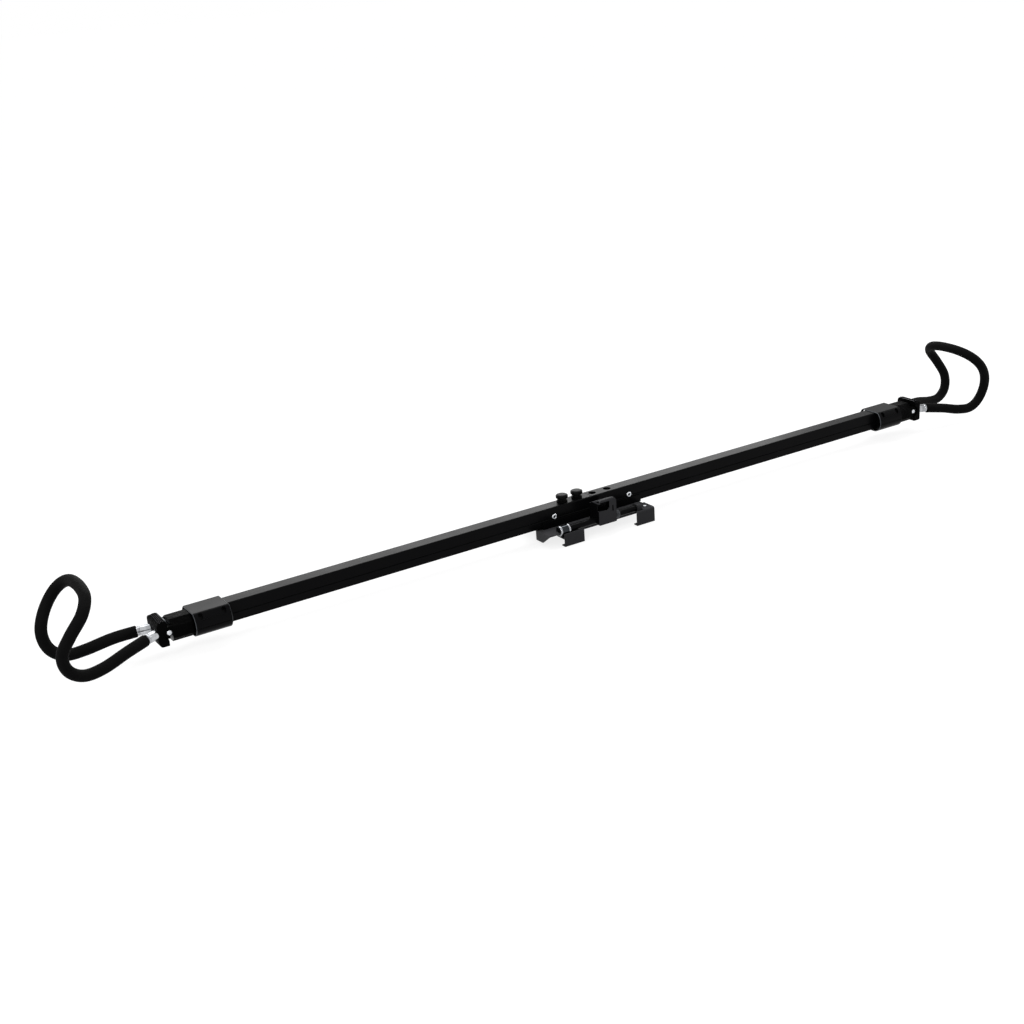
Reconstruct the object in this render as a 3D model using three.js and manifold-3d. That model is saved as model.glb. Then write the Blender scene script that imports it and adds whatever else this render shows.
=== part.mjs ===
// A rack-mounted pull-up bar: a two-part rectangular bar, joined in the middle over a clip-on rack
// bracket with a release lever and two pull pins, with a telescopic arm and a hinged, foam-covered
// grip loop at each end. Millimetres, +X towards the right-hand end, -Y towards the lever side, +Z up.
import * as THREE from "three";
import { mergeVertices } from "three/addons/utils/BufferGeometryUtils.js";
import Module from "manifold-3d";

const wasm = await Module();
wasm.setup();

// ---- Driving dimensions ------------------------------------------------------------------------

const GAP = 0.3; // left between two pieces that touch
const PAST = 1; // how far a cutting tool runs past the face it cuts through

// Bar: two halves of one rectangular tube that meet at X = 0.
const BAR_WIDTH = 32.7;
const BAR_HEIGHT = 40;
const BAR_WALL = 2.5;
const BAR_CORNER = 3; // outer corner radius
const BAR_END = 886; // far end of each half
const BAR_GROOVE = { z: -3.5, width: 1.6, depth: 0.7 };

// Sleeve inside the bar that joins the two halves.
const SLEEVE_HALF_LENGTH = 112;
const SLEEVE_WALL = 2.5;
const FIT = 0.4; // sliding fit between nested tubes, each side

// Tubular rivets through the bar.
const RIVET = { z: -0.6, shank: 3, head: 6, headHeight: 1.3, socket: 2.6, socketDepth: 2 };
const RIVET_X = SLEEVE_HALF_LENGTH - 16.5; // the rivets hold the sleeve near its ends

// Pull pins and the two spare pin holes.
const PIN_STATIONS = [-64, -27];
const SPARE_STATIONS = [12.5, 50.5];
const PIN_RADIUS = 4;
const PIN_CHAMFER = 1;
const PIN_TIP_REACH = 1.5; // the tip stands this much below the rack plate's top face
const PIN_SHOULDER = { radius: 5.1, bottom: 4, height: 2 };
const BUSH = {
  radius: 7.4,
  bottom: 1,
  chamber: 5.7,
  chamberTop: 18,
  flange: 11.5,
  flangeHeight: 3,
  chamfer: 0.8,
};
const SPARE_HOLE_RADIUS = 7.85;
const KNOB = { radius: 12.8, waist: 8.6, skirt: 10.2, height: 13.4, capHeight: 8.2, dome: 2.2 };
const KNOB_DETAIL = { lip: 1.4, neck: 1, edge: 0.8, socket: 6 };
const PIN_SPRING = { wire: 0.45, turns: 4 };

// Rack bracket: a saddle round the underside of the bar and a bent plate under it.
const SADDLE_HALF_LENGTH = 125;
const SADDLE_WALL = 2;
const PLATE = 2.5; // sheet thickness of the rack plate and its clips
const PLATE_LEFT = -136;
const PLATE_RIGHT = 122;
const LEFT_WING = { right: -109.4, front: -56 };
const FRONT_FLANGE = { y: -39.8, wall: 2, drop: 8.4 };
const END_TAB = { back: -5, frontDrop: 2, drop: 22, toe: -29 };

// Clips that hook under the rack beam. Their lips are what the whole bar stands on.
const CLIP_OUTER = 70; // |Y| of the outer face
const CLIP_BOTTOM = -52;
const CLIP_LIP = 12;
const CLIP_BEND = 4.5;
const CLIP_WEB_INNER = 34;
const LEFT_CLIP = { from: -104, to: -55 };
const RIGHT_CLIP = { from: 76, to: 122 };
const CLIP_SCREW_INSET = { end: 13, side: 17 };
const HANGING_CLIP = { outer: 64, top: -24, web: -36.3 }; // the front left clip passes under the shaft

// Release lever and the shaft it turns on.
const SHAFT = { y: -50, z: -20, radius: 7, from: -103, to: 92 };
const SHAFT_BEARING = { radius: 11, from: LEFT_WING.right + GAP, to: -85 };
const SHAFT_BRACKET = { from: 86, to: 95.7, halfDepth: 9.6, rise: 10, topCorner: 6, bottomCorner: 2 };
const LEVER = { from: -17, to: 28, wall: 2, front: -64.5, bottom: -28.8, top: 25.5, back: -30.5 };
const LEVER_NOSE = { run: 5, edge: 1.5, drop: 4 }; // the folded edge along the top of the front plate
const LEVER_BACK = { top: 14, bottom: -21 };
const LEVER_EAR = 9.5; // radius of each cheek round the shaft
const LEVER_LIFT = 1.2; // the shell stops this far above the rack plate
const LEVER_WINDOW = { from: -13, to: 10, bottom: 5, top: 20.5 };
const LEVER_SLOT = { x: 19, width: 3, bottom: -4, top: 9 };
const TOOTH = { from: -3, to: 14, front: -34.5, back: -31.5, bottom: -31, webTop: -13, webBottom: -21.4 };
const TOOTH_SWING = 3.4; // room behind the tooth as it swings up
const LEVER_SPRING = { wire: 0.8, turns: 5, clear: 1.2, pitch: 2.2, leg: 16, bend: 0.75 };

// Collars: a two-shell clamp over the outer end of each bar half.
const COLLAR = { length: 71, overhang: 2, wall: 2.2, seam: -6 };
const COLLAR_LINER = { innerRecess: 7, outerRecess: 4 };
const COLLAR_SCREW_INSET = 13; // from each end of the collar
const SET_SCREW = { radius: 2.7, recess: 1, length: 8.5, hex: 1.5, hexDepth: 2 };

// Telescopic arms. Hinge sizes are measured from the hinge bolt.
const HEAD_CLEAR = 1; // between the collar and the arm head when the arm is pushed in
const ARM_LENGTH = 330;
const ARM_WALL = 2.5;
const HEAD = { inner: -46, outer: -6, halfWidth: 26, topFlat: 12, top: 20, bottom: -21 };
const HEAD_SHOULDER = { top: 9, bottom: -13, bottomFlat: 19 };
const HEAD_SOCKET_DEPTH = 24;
const CHEEK = { radius: 11.5, outer: 25.2 };
const TONGUE = { halfWidth: 11.5, radius: 13 };
const SLOT_DEPTH = 10; // how far the tongue's slot runs into the head
const BOLT = { radius: 4, head: 5.5, headHeight: 3.2, nut: 6.6, nutHeight: 4.5 };

// Knuckle and grip loop, measured outwards from the hinge bolt.
const KNUCKLE = { inner: 3, outer: 22, halfWidth: 28.5, halfHeight: 24.5, topCorner: 8, bottomCorner: 3 };
const SOCKET_FLOOR = 14;
const LOOP_ROD = 7; // radius of the bent steel rod
const FERRULE = { radius: 9.4, length: 24, sunk: 0.6 }; // sunk: how deep its whole end sits in the knuckle
const GRIP_RADIUS = 11.2;
const GRIP_GAP = 1; // between a ferrule and the foam, which starts to bend there
const LOOP_STEPS = 36;
const LOOP_SIDES = 10;
// Centre line of one leg of the loop, chosen by hand: outwards, sideways, up. The other leg mirrors it.
const LOOP_LEG = [
  [SOCKET_FLOOR, 15.6, 0.8],
  [40, 23, -0.8],
  [86.5, 38, -8],
  [131.5, 48.5, -18.5],
  [168.5, 52.5, -19.5],
  [194, 55.5, -0.5],
  [200.5, 63, 32.5],
  [184.5, 74.5, 68],
  [159.5, 75.5, 99.5],
  [142, 49.5, 119.5],
];
const LOOP_TOP = [137.5, 0, 125.5];

// ---- Sizes that follow from them ---------------------------------------------------------------

const BAR_TOP = BAR_HEIGHT / 2;
const BAR_HALF_WIDTH = BAR_WIDTH / 2;
const SADDLE_TOP = RIVET.z - RIVET.head - GAP; // just under the rivet heads
const PLATE_TOP = -BAR_TOP - GAP - SADDLE_WALL - GAP;
const PLATE_BOTTOM = PLATE_TOP - PLATE;
const RIGHT_WING_LEFT = SHAFT_BRACKET.to + GAP;
const WING_REACH = CLIP_OUTER - CLIP_BEND - GAP; // the plate stops where the clips start to bend
const SLEEVE_WIDTH = BAR_WIDTH - 2 * (BAR_WALL + FIT);
const SLEEVE_HEIGHT = BAR_HEIGHT - 2 * (BAR_WALL + FIT);
const BUSH_TOP = BAR_TOP + GAP + BUSH.flangeHeight;
const KNOB_BOTTOM = BUSH_TOP + GAP;
const SLIP = 0.35; // running clearance round a shaft, pin or bolt
const COLLAR_TO = BAR_END + COLLAR.overhang;
const COLLAR_FROM = COLLAR_TO - COLLAR.length;
const COLLAR_SCREWS = [COLLAR_FROM + COLLAR_SCREW_INSET, COLLAR_TO - COLLAR_SCREW_INSET];
const BOLT_X = COLLAR_TO + HEAD_CLEAR - HEAD.inner;

// ---- Materials ---------------------------------------------------------------------------------

const finish = (color, roughness, metalness) =>
  new THREE.MeshStandardMaterial({ color, roughness, metalness });
const BLACK_PAINT = finish(0x101012, 0.35, 0.2);
const BLACK_STEEL = finish(0x16171a, 0.45, 0.6);
const BLACK_PLASTIC = finish(0x141414, 0.5, 0);
const ZINC = finish(0xb9bcc0, 0.3, 1);
const CHROME = finish(0xd8dade, 0.12, 1);
const SPRING_STEEL = finish(0x8f9296, 0.35, 1);
const FOAM = finish(0x0b0b0c, 0.9, 0);

// ---- Helpers -----------------------------------------------------------------------------------

/** Turns a closed three.js geometry into a solid that can be joined and cut. */
function toSolid(geometry) {
  const bare = geometry.clone();
  bare.deleteAttribute("normal");
  bare.deleteAttribute("uv");
  const merged = mergeVertices(bare, 1e-4);
  return new wasm.Manifold(
    new wasm.Mesh({
      numProp: 3,
      vertProperties: merged.attributes.position.array,
      triVerts: new Uint32Array(merged.index.array),
    }),
  );
}

/** Turns a solid back into a flat-shaded geometry. */
function toGeometry(solid) {
  const mesh = solid.getMesh();
  const indexed = new THREE.BufferGeometry();
  indexed.setAttribute("position", new THREE.BufferAttribute(new Float32Array(mesh.vertProperties), 3));
  indexed.setIndex(new THREE.BufferAttribute(new Uint32Array(mesh.triVerts), 1));
  const geometry = indexed.toNonIndexed();
  geometry.computeVertexNormals();
  return geometry;
}

const join = (first, ...others) => others.reduce((sum, other) => sum.add(other), first);
const cut = (body, ...tools) => tools.reduce((rest, tool) => rest.subtract(tool), body);

/** Extrudes an outline drawn in (Y, Z) along X. */
function alongX(outline, from, to, curveSegments = 4) {
  const shape = new THREE.ExtrudeGeometry(outline, { depth: to - from, bevelEnabled: false, curveSegments });
  const axes = new THREE.Matrix4().makeBasis(
    new THREE.Vector3(0, 1, 0),
    new THREE.Vector3(0, 0, 1),
    new THREE.Vector3(1, 0, 0),
  );
  return toSolid(shape.applyMatrix4(axes).translate(from, 0, 0));
}

/** Extrudes an outline drawn in (X, Z) along Y. */
function alongY(outline, from, to, curveSegments = 6) {
  const shape = new THREE.ExtrudeGeometry(outline, { depth: to - from, bevelEnabled: false, curveSegments });
  return toSolid(shape.rotateX(Math.PI / 2).translate(0, to, 0));
}

/** Extrudes an outline drawn in (X, Y) along Z. */
function alongZ(outline, from, to) {
  const shape = new THREE.ExtrudeGeometry(outline, { depth: to - from, bevelEnabled: false });
  return toSolid(shape.translate(0, 0, from));
}

/** A box given by two opposite corners. */
function block(low, high) {
  const size = high.map((value, axis) => value - low[axis]);
  const middle = high.map((value, axis) => (value + low[axis]) / 2);
  return toSolid(new THREE.BoxGeometry(...size).translate(...middle));
}

/** How many sides a round piece of this radius needs. */
const sidesFor = (radius) => 2 * Math.round(3 + 0.7 * radius);

/** A round rod between two points. */
function rod(start, end, radius, sides = sidesFor(Math.ceil(radius - SLIP))) {
  const from = new THREE.Vector3(...start);
  const to = new THREE.Vector3(...end);
  const axis = to.clone().sub(from);
  const geometry = new THREE.CylinderGeometry(radius, radius, axis.length(), sides);
  const upwards = new THREE.Vector3(0, 1, 0);
  const turn = new THREE.Quaternion().setFromUnitVectors(upwards, axis.clone().normalize());
  geometry.applyQuaternion(turn);
  const middle = from.add(to).multiplyScalar(0.5);
  return toSolid(geometry.translate(middle.x, middle.y, middle.z));
}

/** A turned piece about the Z axis, from its (radius, height) profile, bottom first. */
function turned(profile, x, sides = 20) {
  const points = profile.map(([radius, height]) => new THREE.Vector2(radius, height));
  const closed = points[0].x === 0 && points.at(-1).x === 0 ? points : [...points, points[0]];
  return toSolid(new THREE.LatheGeometry(closed, sides).rotateX(Math.PI / 2).translate(x, 0, 0));
}

/** An outline through straight-sided points. */
const polygon = (points) => new THREE.Shape(points.map(([a, b]) => new THREE.Vector2(a, b)));

/** A rectangle with a radius at its top corners and another at its bottom corners. */
function roundedBox(halfWidth, bottom, top, topRadius, bottomRadius = topRadius) {
  const shape = new THREE.Shape();
  const quarter = Math.PI / 2;
  shape.moveTo(-halfWidth + bottomRadius, bottom);
  shape.absarc(halfWidth - bottomRadius, bottom + bottomRadius, bottomRadius, -quarter, 0);
  shape.absarc(halfWidth - topRadius, top - topRadius, topRadius, 0, quarter);
  shape.absarc(-halfWidth + topRadius, top - topRadius, topRadius, quarter, 2 * quarter);
  shape.absarc(-halfWidth + bottomRadius, bottom + bottomRadius, bottomRadius, 2 * quarter, 3 * quarter);
  return shape;
}

/** Moves every side of a convex, anticlockwise outline inwards by a distance. */
function inset(points, distance) {
  const sides = points.map((point, index) => {
    const next = points[(index + 1) % points.length];
    const along = new THREE.Vector2(next[0] - point[0], next[1] - point[1]).normalize();
    const inward = new THREE.Vector2(-along.y, along.x);
    return { along, origin: new THREE.Vector2(...point).addScaledVector(inward, distance) };
  });
  return sides.map((side, index) => {
    const before = sides.at(index - 1);
    const apart = side.origin.clone().sub(before.origin);
    const reach = apart.cross(side.along) / before.along.cross(side.along);
    return before.origin.clone().addScaledVector(before.along, reach).toArray();
  });
}

/** A round bar swept along a route of chosen stations, with an optional bore. */
class StationRoute extends THREE.Curve {
  constructor(stations) {
    super();
    this.stations = stations;
  }

  getPoint(t, target = new THREE.Vector3()) {
    const place = t * (this.stations.length - 1);
    const before = Math.min(Math.floor(place), this.stations.length - 2);
    return target.lerpVectors(this.stations[before], this.stations[before + 1], place - before);
  }

  getPointAt(u, target) {
    return this.getPoint(u, target);
  }

  getTangentAt(u, target = new THREE.Vector3()) {
    const step = 0.5 / (this.stations.length - 1);
    const ahead = this.getPoint(Math.min(u + step, 1));
    return target.copy(ahead).sub(this.getPoint(Math.max(u - step, 0))).normalize();
  }
}

function sweep(stations, radius, bore = 0, sides = LOOP_SIDES) {
  const ring = (r) =>
    Array.from({ length: sides }, (_, i) => {
      const angle = (2 * Math.PI * i) / sides;
      return new THREE.Vector2(r * Math.cos(angle), r * Math.sin(angle));
    });
  const section = new THREE.Shape(ring(radius));
  if (bore > 0) section.holes.push(new THREE.Path(ring(bore)));
  const extrudePath = new StationRoute(stations);
  return toSolid(new THREE.ExtrudeGeometry(section, { extrudePath, steps: stations.length - 1 }));
}

const part = new THREE.Group();

/** Adds one named piece to a group. */
function add(group, name, solid, material) {
  const mesh = new THREE.Mesh(toGeometry(solid), material);
  mesh.name = name;
  group.add(mesh);
}

// ---- Bar ---------------------------------------------------------------------------------------

/** Outline of the bar tube: a rounded rectangle with a shallow groove along each side. */
function barOutline() {
  const { z, width, depth } = BAR_GROOVE;
  const corners = roundedBox(BAR_HALF_WIDTH, -BAR_TOP, BAR_TOP, BAR_CORNER).getPoints(3);
  const groove = (side) => [
    [side * BAR_HALF_WIDTH, z - (side * width) / 2],
    [side * (BAR_HALF_WIDTH - depth), z],
    [side * BAR_HALF_WIDTH, z + (side * width) / 2],
  ];
  const right = corners.filter((p) => p.x > 0);
  const left = corners.filter((p) => p.x <= 0);
  const lowerRight = right.filter((p) => p.y < z).map((p) => p.toArray());
  const upperRight = right.filter((p) => p.y >= z).map((p) => p.toArray());
  const upperLeft = left.filter((p) => p.y >= z).map((p) => p.toArray());
  const lowerLeft = left.filter((p) => p.y < z).map((p) => p.toArray());
  const ordered = lowerLeft.sort((a, b) => b[1] - a[1] || a[0] - b[0]);
  return [...lowerRight, ...groove(1), ...upperRight, ...upperLeft, ...groove(-1), ...ordered];
}

/** A rectangular bore that fits inside the bar, less a clearance on each side. */
const innerOutline = (clearance) =>
  roundedBox(
    BAR_HALF_WIDTH - BAR_WALL - clearance,
    -BAR_TOP + BAR_WALL + clearance,
    BAR_TOP - BAR_WALL - clearance,
    Math.max(BAR_CORNER - BAR_WALL, 1),
  );

const upright = (x, radius, bottom, top) => rod([x, 0, bottom], [x, 0, top], radius);

/** The holes that the pins, bushes and rivets need in the bar and in its sleeve. */
function barHoles() {
  const below = PLATE_BOTTOM - PAST;
  const bushes = PIN_STATIONS.map((x) => upright(x, BUSH.radius + GAP, 0, BAR_TOP + PAST));
  const spares = SPARE_STATIONS.map((x) => upright(x, SPARE_HOLE_RADIUS, 0, BAR_TOP + PAST));
  const pins = [...PIN_STATIONS, ...SPARE_STATIONS].map((x) => upright(x, PIN_RADIUS + SLIP, below, 0));
  const rivets = [-1, 1].map((side) =>
    rod([side * RIVET_X, -BAR_WIDTH, RIVET.z], [side * RIVET_X, BAR_WIDTH, RIVET.z], RIVET.shank + GAP),
  );
  return { bushes, spares, pins, rivets };
}

function buildBar(group) {
  const holes = barHoles();
  const openings = [...holes.bushes, ...holes.spares, ...holes.pins, ...holes.rivets];
  const halves = { left: [-BAR_END, -GAP], right: [GAP, BAR_END] };
  for (const [side, [from, to]] of Object.entries(halves)) {
    const bore = alongX(innerOutline(0), from - PAST, to + PAST, 2);
    const tube = alongX(polygon(barOutline()), from, to);
    add(group, side + "_bar_tube", cut(tube, bore, ...openings), BLACK_PAINT);
  }
  const sleeve = alongX(innerOutline(FIT), -SLEEVE_HALF_LENGTH, SLEEVE_HALF_LENGTH, 2);
  const core = alongX(
    roundedBox(
      SLEEVE_WIDTH / 2 - SLEEVE_WALL,
      -SLEEVE_HEIGHT / 2 + SLEEVE_WALL,
      SLEEVE_HEIGHT / 2 - SLEEVE_WALL,
      1,
    ),
    -SLEEVE_HALF_LENGTH - PAST,
    SLEEVE_HALF_LENGTH + PAST,
    2,
  );
  add(group, "joining_sleeve", cut(sleeve, core, ...openings), BLACK_STEEL);
  for (const [side, sign] of [["left", -1], ["right", 1]]) {
    add(group, side + "_joint_rivet", jointRivet().translate([sign * RIVET_X, 0, RIVET.z]), ZINC);
  }
}

/** A tubular rivet across the bar, with a sunk eye in each head. */
function jointRivet() {
  const seat = BAR_HALF_WIDTH + GAP;
  const face = seat + RIVET.headHeight;
  const shank = rod([0, -seat - GAP, 0], [0, seat + GAP, 0], RIVET.shank);
  const heads = [-1, 1].map((side) => rod([0, side * seat, 0], [0, side * face, 0], RIVET.head));
  const eyes = [-1, 1].map((side) =>
    rod([0, side * (face - RIVET.socketDepth), 0], [0, side * (face + PAST), 0], RIVET.socket),
  );
  return cut(join(shank, ...heads), ...eyes);
}

// ---- Pull pins ---------------------------------------------------------------------------------

/** A flanged bush set in the top of the bar, with a chamber for the spring. */
function pinBush(x) {
  return turned(
    [
      [BUSH.chamber, BUSH.bottom],
      [BUSH.radius, BUSH.bottom],
      [BUSH.radius, BAR_TOP + GAP],
      [BUSH.flange, BAR_TOP + GAP],
      [BUSH.flange, BUSH_TOP - BUSH.chamfer],
      [BUSH.flange - BUSH.chamfer, BUSH_TOP],
      [PIN_RADIUS + SLIP, BUSH_TOP],
      [PIN_RADIUS + SLIP, BUSH.chamberTop],
      [BUSH.chamber, BUSH.chamberTop],
    ],
    x,
    16,
  );
}

/** The steel pin: a plain tip below, a shoulder that the spring presses on, a stem into the knob. */
function lockPin(x) {
  const tip = PLATE_TOP - PIN_TIP_REACH;
  const { radius, bottom, height } = PIN_SHOULDER;
  return turned(
    [
      [0, tip],
      [PIN_RADIUS - PIN_CHAMFER, tip],
      [PIN_RADIUS, tip + PIN_CHAMFER],
      [PIN_RADIUS, bottom],
      [radius, bottom],
      [radius, bottom + height],
      [PIN_RADIUS, bottom + height],
      [PIN_RADIUS, KNOB_BOTTOM + KNOB_DETAIL.socket],
      [0, KNOB_BOTTOM + KNOB_DETAIL.socket],
    ],
    x,
    12,
  );
}

/** A mushroom knob with a waist for the fingers. */
function pinKnob(x) {
  const top = KNOB_BOTTOM + KNOB.height;
  const brim = top - KNOB.capHeight;
  const { lip, neck, edge } = KNOB_DETAIL;
  return turned(
    [
      [PIN_RADIUS + GAP, KNOB_BOTTOM],
      [KNOB.skirt, KNOB_BOTTOM],
      [KNOB.skirt, KNOB_BOTTOM + lip],
      [KNOB.waist, KNOB_BOTTOM + lip + neck],
      [KNOB.waist, brim - edge],
      [KNOB.radius - edge, brim],
      [KNOB.radius, brim + edge],
      [KNOB.radius, top - KNOB.dome],
      [KNOB.radius - KNOB.dome * 0.4, top - KNOB.dome * 0.4],
      [KNOB.radius - KNOB.dome * 1.6, top],
      [0, top],
      [0, KNOB_BOTTOM + KNOB_DETAIL.socket + GAP],
      [PIN_RADIUS + GAP, KNOB_BOTTOM + KNOB_DETAIL.socket + GAP],
    ],
    x,
  );
}

/** A coil of round wire about an upright axis, worked out turn by turn. */
function coil(radius, wire, turns, length, stepsPerTurn = 8, sides = 4) {
  const count = Math.round(turns * stepsPerTurn);
  const stations = Array.from({ length: count + 1 }, (_, i) => {
    const angle = (2 * Math.PI * i) / stepsPerTurn;
    return new THREE.Vector3(radius * Math.cos(angle), radius * Math.sin(angle), (length * i) / count);
  });
  return sweep(stations, wire, 0, sides);
}

function buildPullPins(group) {
  PIN_STATIONS.forEach((x, index) => {
    const name = (piece) => piece + "_" + (index + 1);
    const seat = PIN_SHOULDER.bottom + PIN_SHOULDER.height + GAP + PIN_SPRING.wire;
    const space = BUSH.chamberTop - GAP - PIN_SPRING.wire - seat;
    const radius = (PIN_RADIUS + BUSH.chamber) / 2;
    const spring = coil(radius, PIN_SPRING.wire, PIN_SPRING.turns, space);
    add(group, name("pin_bush"), pinBush(x), BLACK_STEEL);
    add(group, name("lock_pin"), lockPin(x), ZINC);
    add(group, name("pin_spring"), spring.translate([x, 0, seat]), SPRING_STEEL);
    add(group, name("pin_knob"), pinKnob(x), BLACK_PLASTIC);
  });
}

// ---- Rack bracket ------------------------------------------------------------------------------

/** U-shaped channel round the lower part of the bar. */
function saddleChannel() {
  const inner = BAR_HALF_WIDTH + GAP;
  const outer = inner + SADDLE_WALL;
  const floor = -BAR_TOP - GAP;
  const outline = polygon([
    [-outer, SADDLE_TOP],
    [-outer, floor - SADDLE_WALL],
    [outer, floor - SADDLE_WALL],
    [outer, SADDLE_TOP],
    [inner, SADDLE_TOP],
    [inner, floor],
    [-inner, floor],
    [-inner, SADDLE_TOP],
  ]);
  return cut(alongX(outline, -SADDLE_HALF_LENGTH, SADDLE_HALF_LENGTH), ...barHoles().pins);
}

/** Upright screws through the webs of the three clips that lie on the plate. */
const WEB_SCREWS = [
  { name: "front_right", x: RIGHT_CLIP.to - CLIP_SCREW_INSET.end, y: -CLIP_OUTER + CLIP_SCREW_INSET.side },
  { name: "back_left", x: (LEFT_CLIP.from + LEFT_CLIP.to) / 2, y: CLIP_OUTER - CLIP_SCREW_INSET.side },
  { name: "back_right", x: RIGHT_CLIP.to - CLIP_SCREW_INSET.end, y: CLIP_OUTER - CLIP_SCREW_INSET.side },
];
const SIDE_SCREW = { x: -70, z: -29.2 };
const CLIP_SCREW = { shank: 2, head: 4, headHeight: 2, slot: 0.9, slotDepth: 0.8, end: 3 };
const WEB_TOP = PLATE_TOP + GAP + PLATE;
const FLANGE_BACK = FRONT_FLANGE.y + FRONT_FLANGE.wall;

/** The bent rack plate: two wings, a front flange, a cut-cornered end tab and slots for pins and lever. */
function rackPlate() {
  const flangeFrom = SHAFT_BEARING.to + GAP;
  const sheet = alongZ(
    polygon([
      [PLATE_LEFT, LEFT_WING.front],
      [LEFT_WING.right, LEFT_WING.front],
      [LEFT_WING.right, SHAFT.y + SHAFT_BEARING.radius + GAP],
      [flangeFrom, SHAFT.y + SHAFT_BEARING.radius + GAP],
      [flangeFrom, FRONT_FLANGE.y],
      [RIGHT_WING_LEFT, FRONT_FLANGE.y],
      [RIGHT_WING_LEFT, -WING_REACH],
      [PLATE_RIGHT, -WING_REACH],
      [PLATE_RIGHT, WING_REACH],
      [PLATE_LEFT, WING_REACH],
    ]),
    PLATE_BOTTOM,
    PLATE_TOP,
  );
  const flange = block(
    [flangeFrom, FRONT_FLANGE.y, PLATE_BOTTOM - FRONT_FLANGE.drop],
    [RIGHT_WING_LEFT, FLANGE_BACK, PLATE_TOP],
  );
  const tab = alongX(
    polygon([
      [LEFT_WING.front, PLATE_TOP],
      [LEFT_WING.front, PLATE_TOP - END_TAB.frontDrop],
      [END_TAB.toe, PLATE_TOP - END_TAB.drop],
      [END_TAB.back, PLATE_TOP - END_TAB.drop],
      [END_TAB.back, PLATE_TOP],
    ]),
    PLATE_LEFT,
    PLATE_LEFT + PLATE,
  );
  const toothSlot = block(
    [TOOTH.from - 2 * GAP, TOOTH.front - 2 * GAP, PLATE_BOTTOM - PAST],
    [TOOTH.to + 2 * GAP, TOOTH.back + TOOTH_SWING, PLATE_TOP + PAST],
  );
  const screws = WEB_SCREWS.map(({ x, y }) =>
    rod([x, y, PLATE_BOTTOM - PAST], [x, y, PLATE_TOP + PAST], CLIP_SCREW.shank + GAP),
  );
  const sideHole = rod(
    [SIDE_SCREW.x, FRONT_FLANGE.y - PAST, SIDE_SCREW.z],
    [SIDE_SCREW.x, FLANGE_BACK + PAST, SIDE_SCREW.z],
    CLIP_SCREW.shank + GAP,
  );
  return cut(join(sheet, flange, tab), toothSlot, sideHole, ...screws, ...barHoles().pins);
}

/** Outline in (Y, Z) of a clip that lies on the plate, bends down past its edge and hooks back in. */
function webClipOutline() {
  const inner = CLIP_OUTER - PLATE;
  const shape = new THREE.Shape();
  shape.moveTo(-CLIP_WEB_INNER, WEB_TOP - PLATE);
  shape.lineTo(-CLIP_WEB_INNER, WEB_TOP);
  shape.lineTo(-CLIP_OUTER + CLIP_BEND, WEB_TOP);
  shape.absarc(-CLIP_OUTER + CLIP_BEND, WEB_TOP - CLIP_BEND, CLIP_BEND, Math.PI / 2, Math.PI);
  shape.lineTo(-CLIP_OUTER, CLIP_BOTTOM);
  shape.lineTo(-CLIP_OUTER + CLIP_LIP, CLIP_BOTTOM);
  shape.lineTo(-CLIP_OUTER + CLIP_LIP, CLIP_BOTTOM + PLATE);
  shape.lineTo(-inner, CLIP_BOTTOM + PLATE);
  shape.lineTo(-inner, WEB_TOP - CLIP_BEND);
  shape.lineTo(-inner + CLIP_BEND - PLATE, WEB_TOP - PLATE);
  return shape;
}

/** Outline in (Y, Z) of the front left clip: a leg behind the flange, a web under the shaft, a hook. */
function hangingClipOutline() {
  const { outer, top, web } = HANGING_CLIP;
  const inner = -outer + PLATE;
  const leg = FLANGE_BACK + GAP;
  return polygon([
    [leg + PLATE, PLATE_BOTTOM - GAP],
    [leg, PLATE_BOTTOM - GAP],
    [leg, web + PLATE],
    [inner, web + PLATE],
    [inner, top],
    [-outer, top],
    [-outer, CLIP_BOTTOM],
    [-outer + CLIP_LIP, CLIP_BOTTOM],
    [-outer + CLIP_LIP, CLIP_BOTTOM + PLATE],
    [inner, CLIP_BOTTOM + PLATE],
    [inner, web],
    [leg + PLATE, web],
  ]);
}

/** A pan-head screw pointing down from its seat, with a screwdriver slot. */
function clipScrew(length) {
  const body = turned(
    [
      [0, -length],
      [CLIP_SCREW.shank, -length],
      [CLIP_SCREW.shank, GAP],
      [CLIP_SCREW.head, GAP],
      [CLIP_SCREW.head, CLIP_SCREW.headHeight * 0.6],
      [CLIP_SCREW.head * 0.75, CLIP_SCREW.headHeight],
      [0, CLIP_SCREW.headHeight],
    ],
    0,
    12,
  );
  const { head, headHeight, slot, slotDepth } = CLIP_SCREW;
  const driverSlot = block([-head, -slot / 2, headHeight - slotDepth], [head, slot / 2, headHeight + PAST]);
  return cut(body, driverSlot);
}

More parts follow.
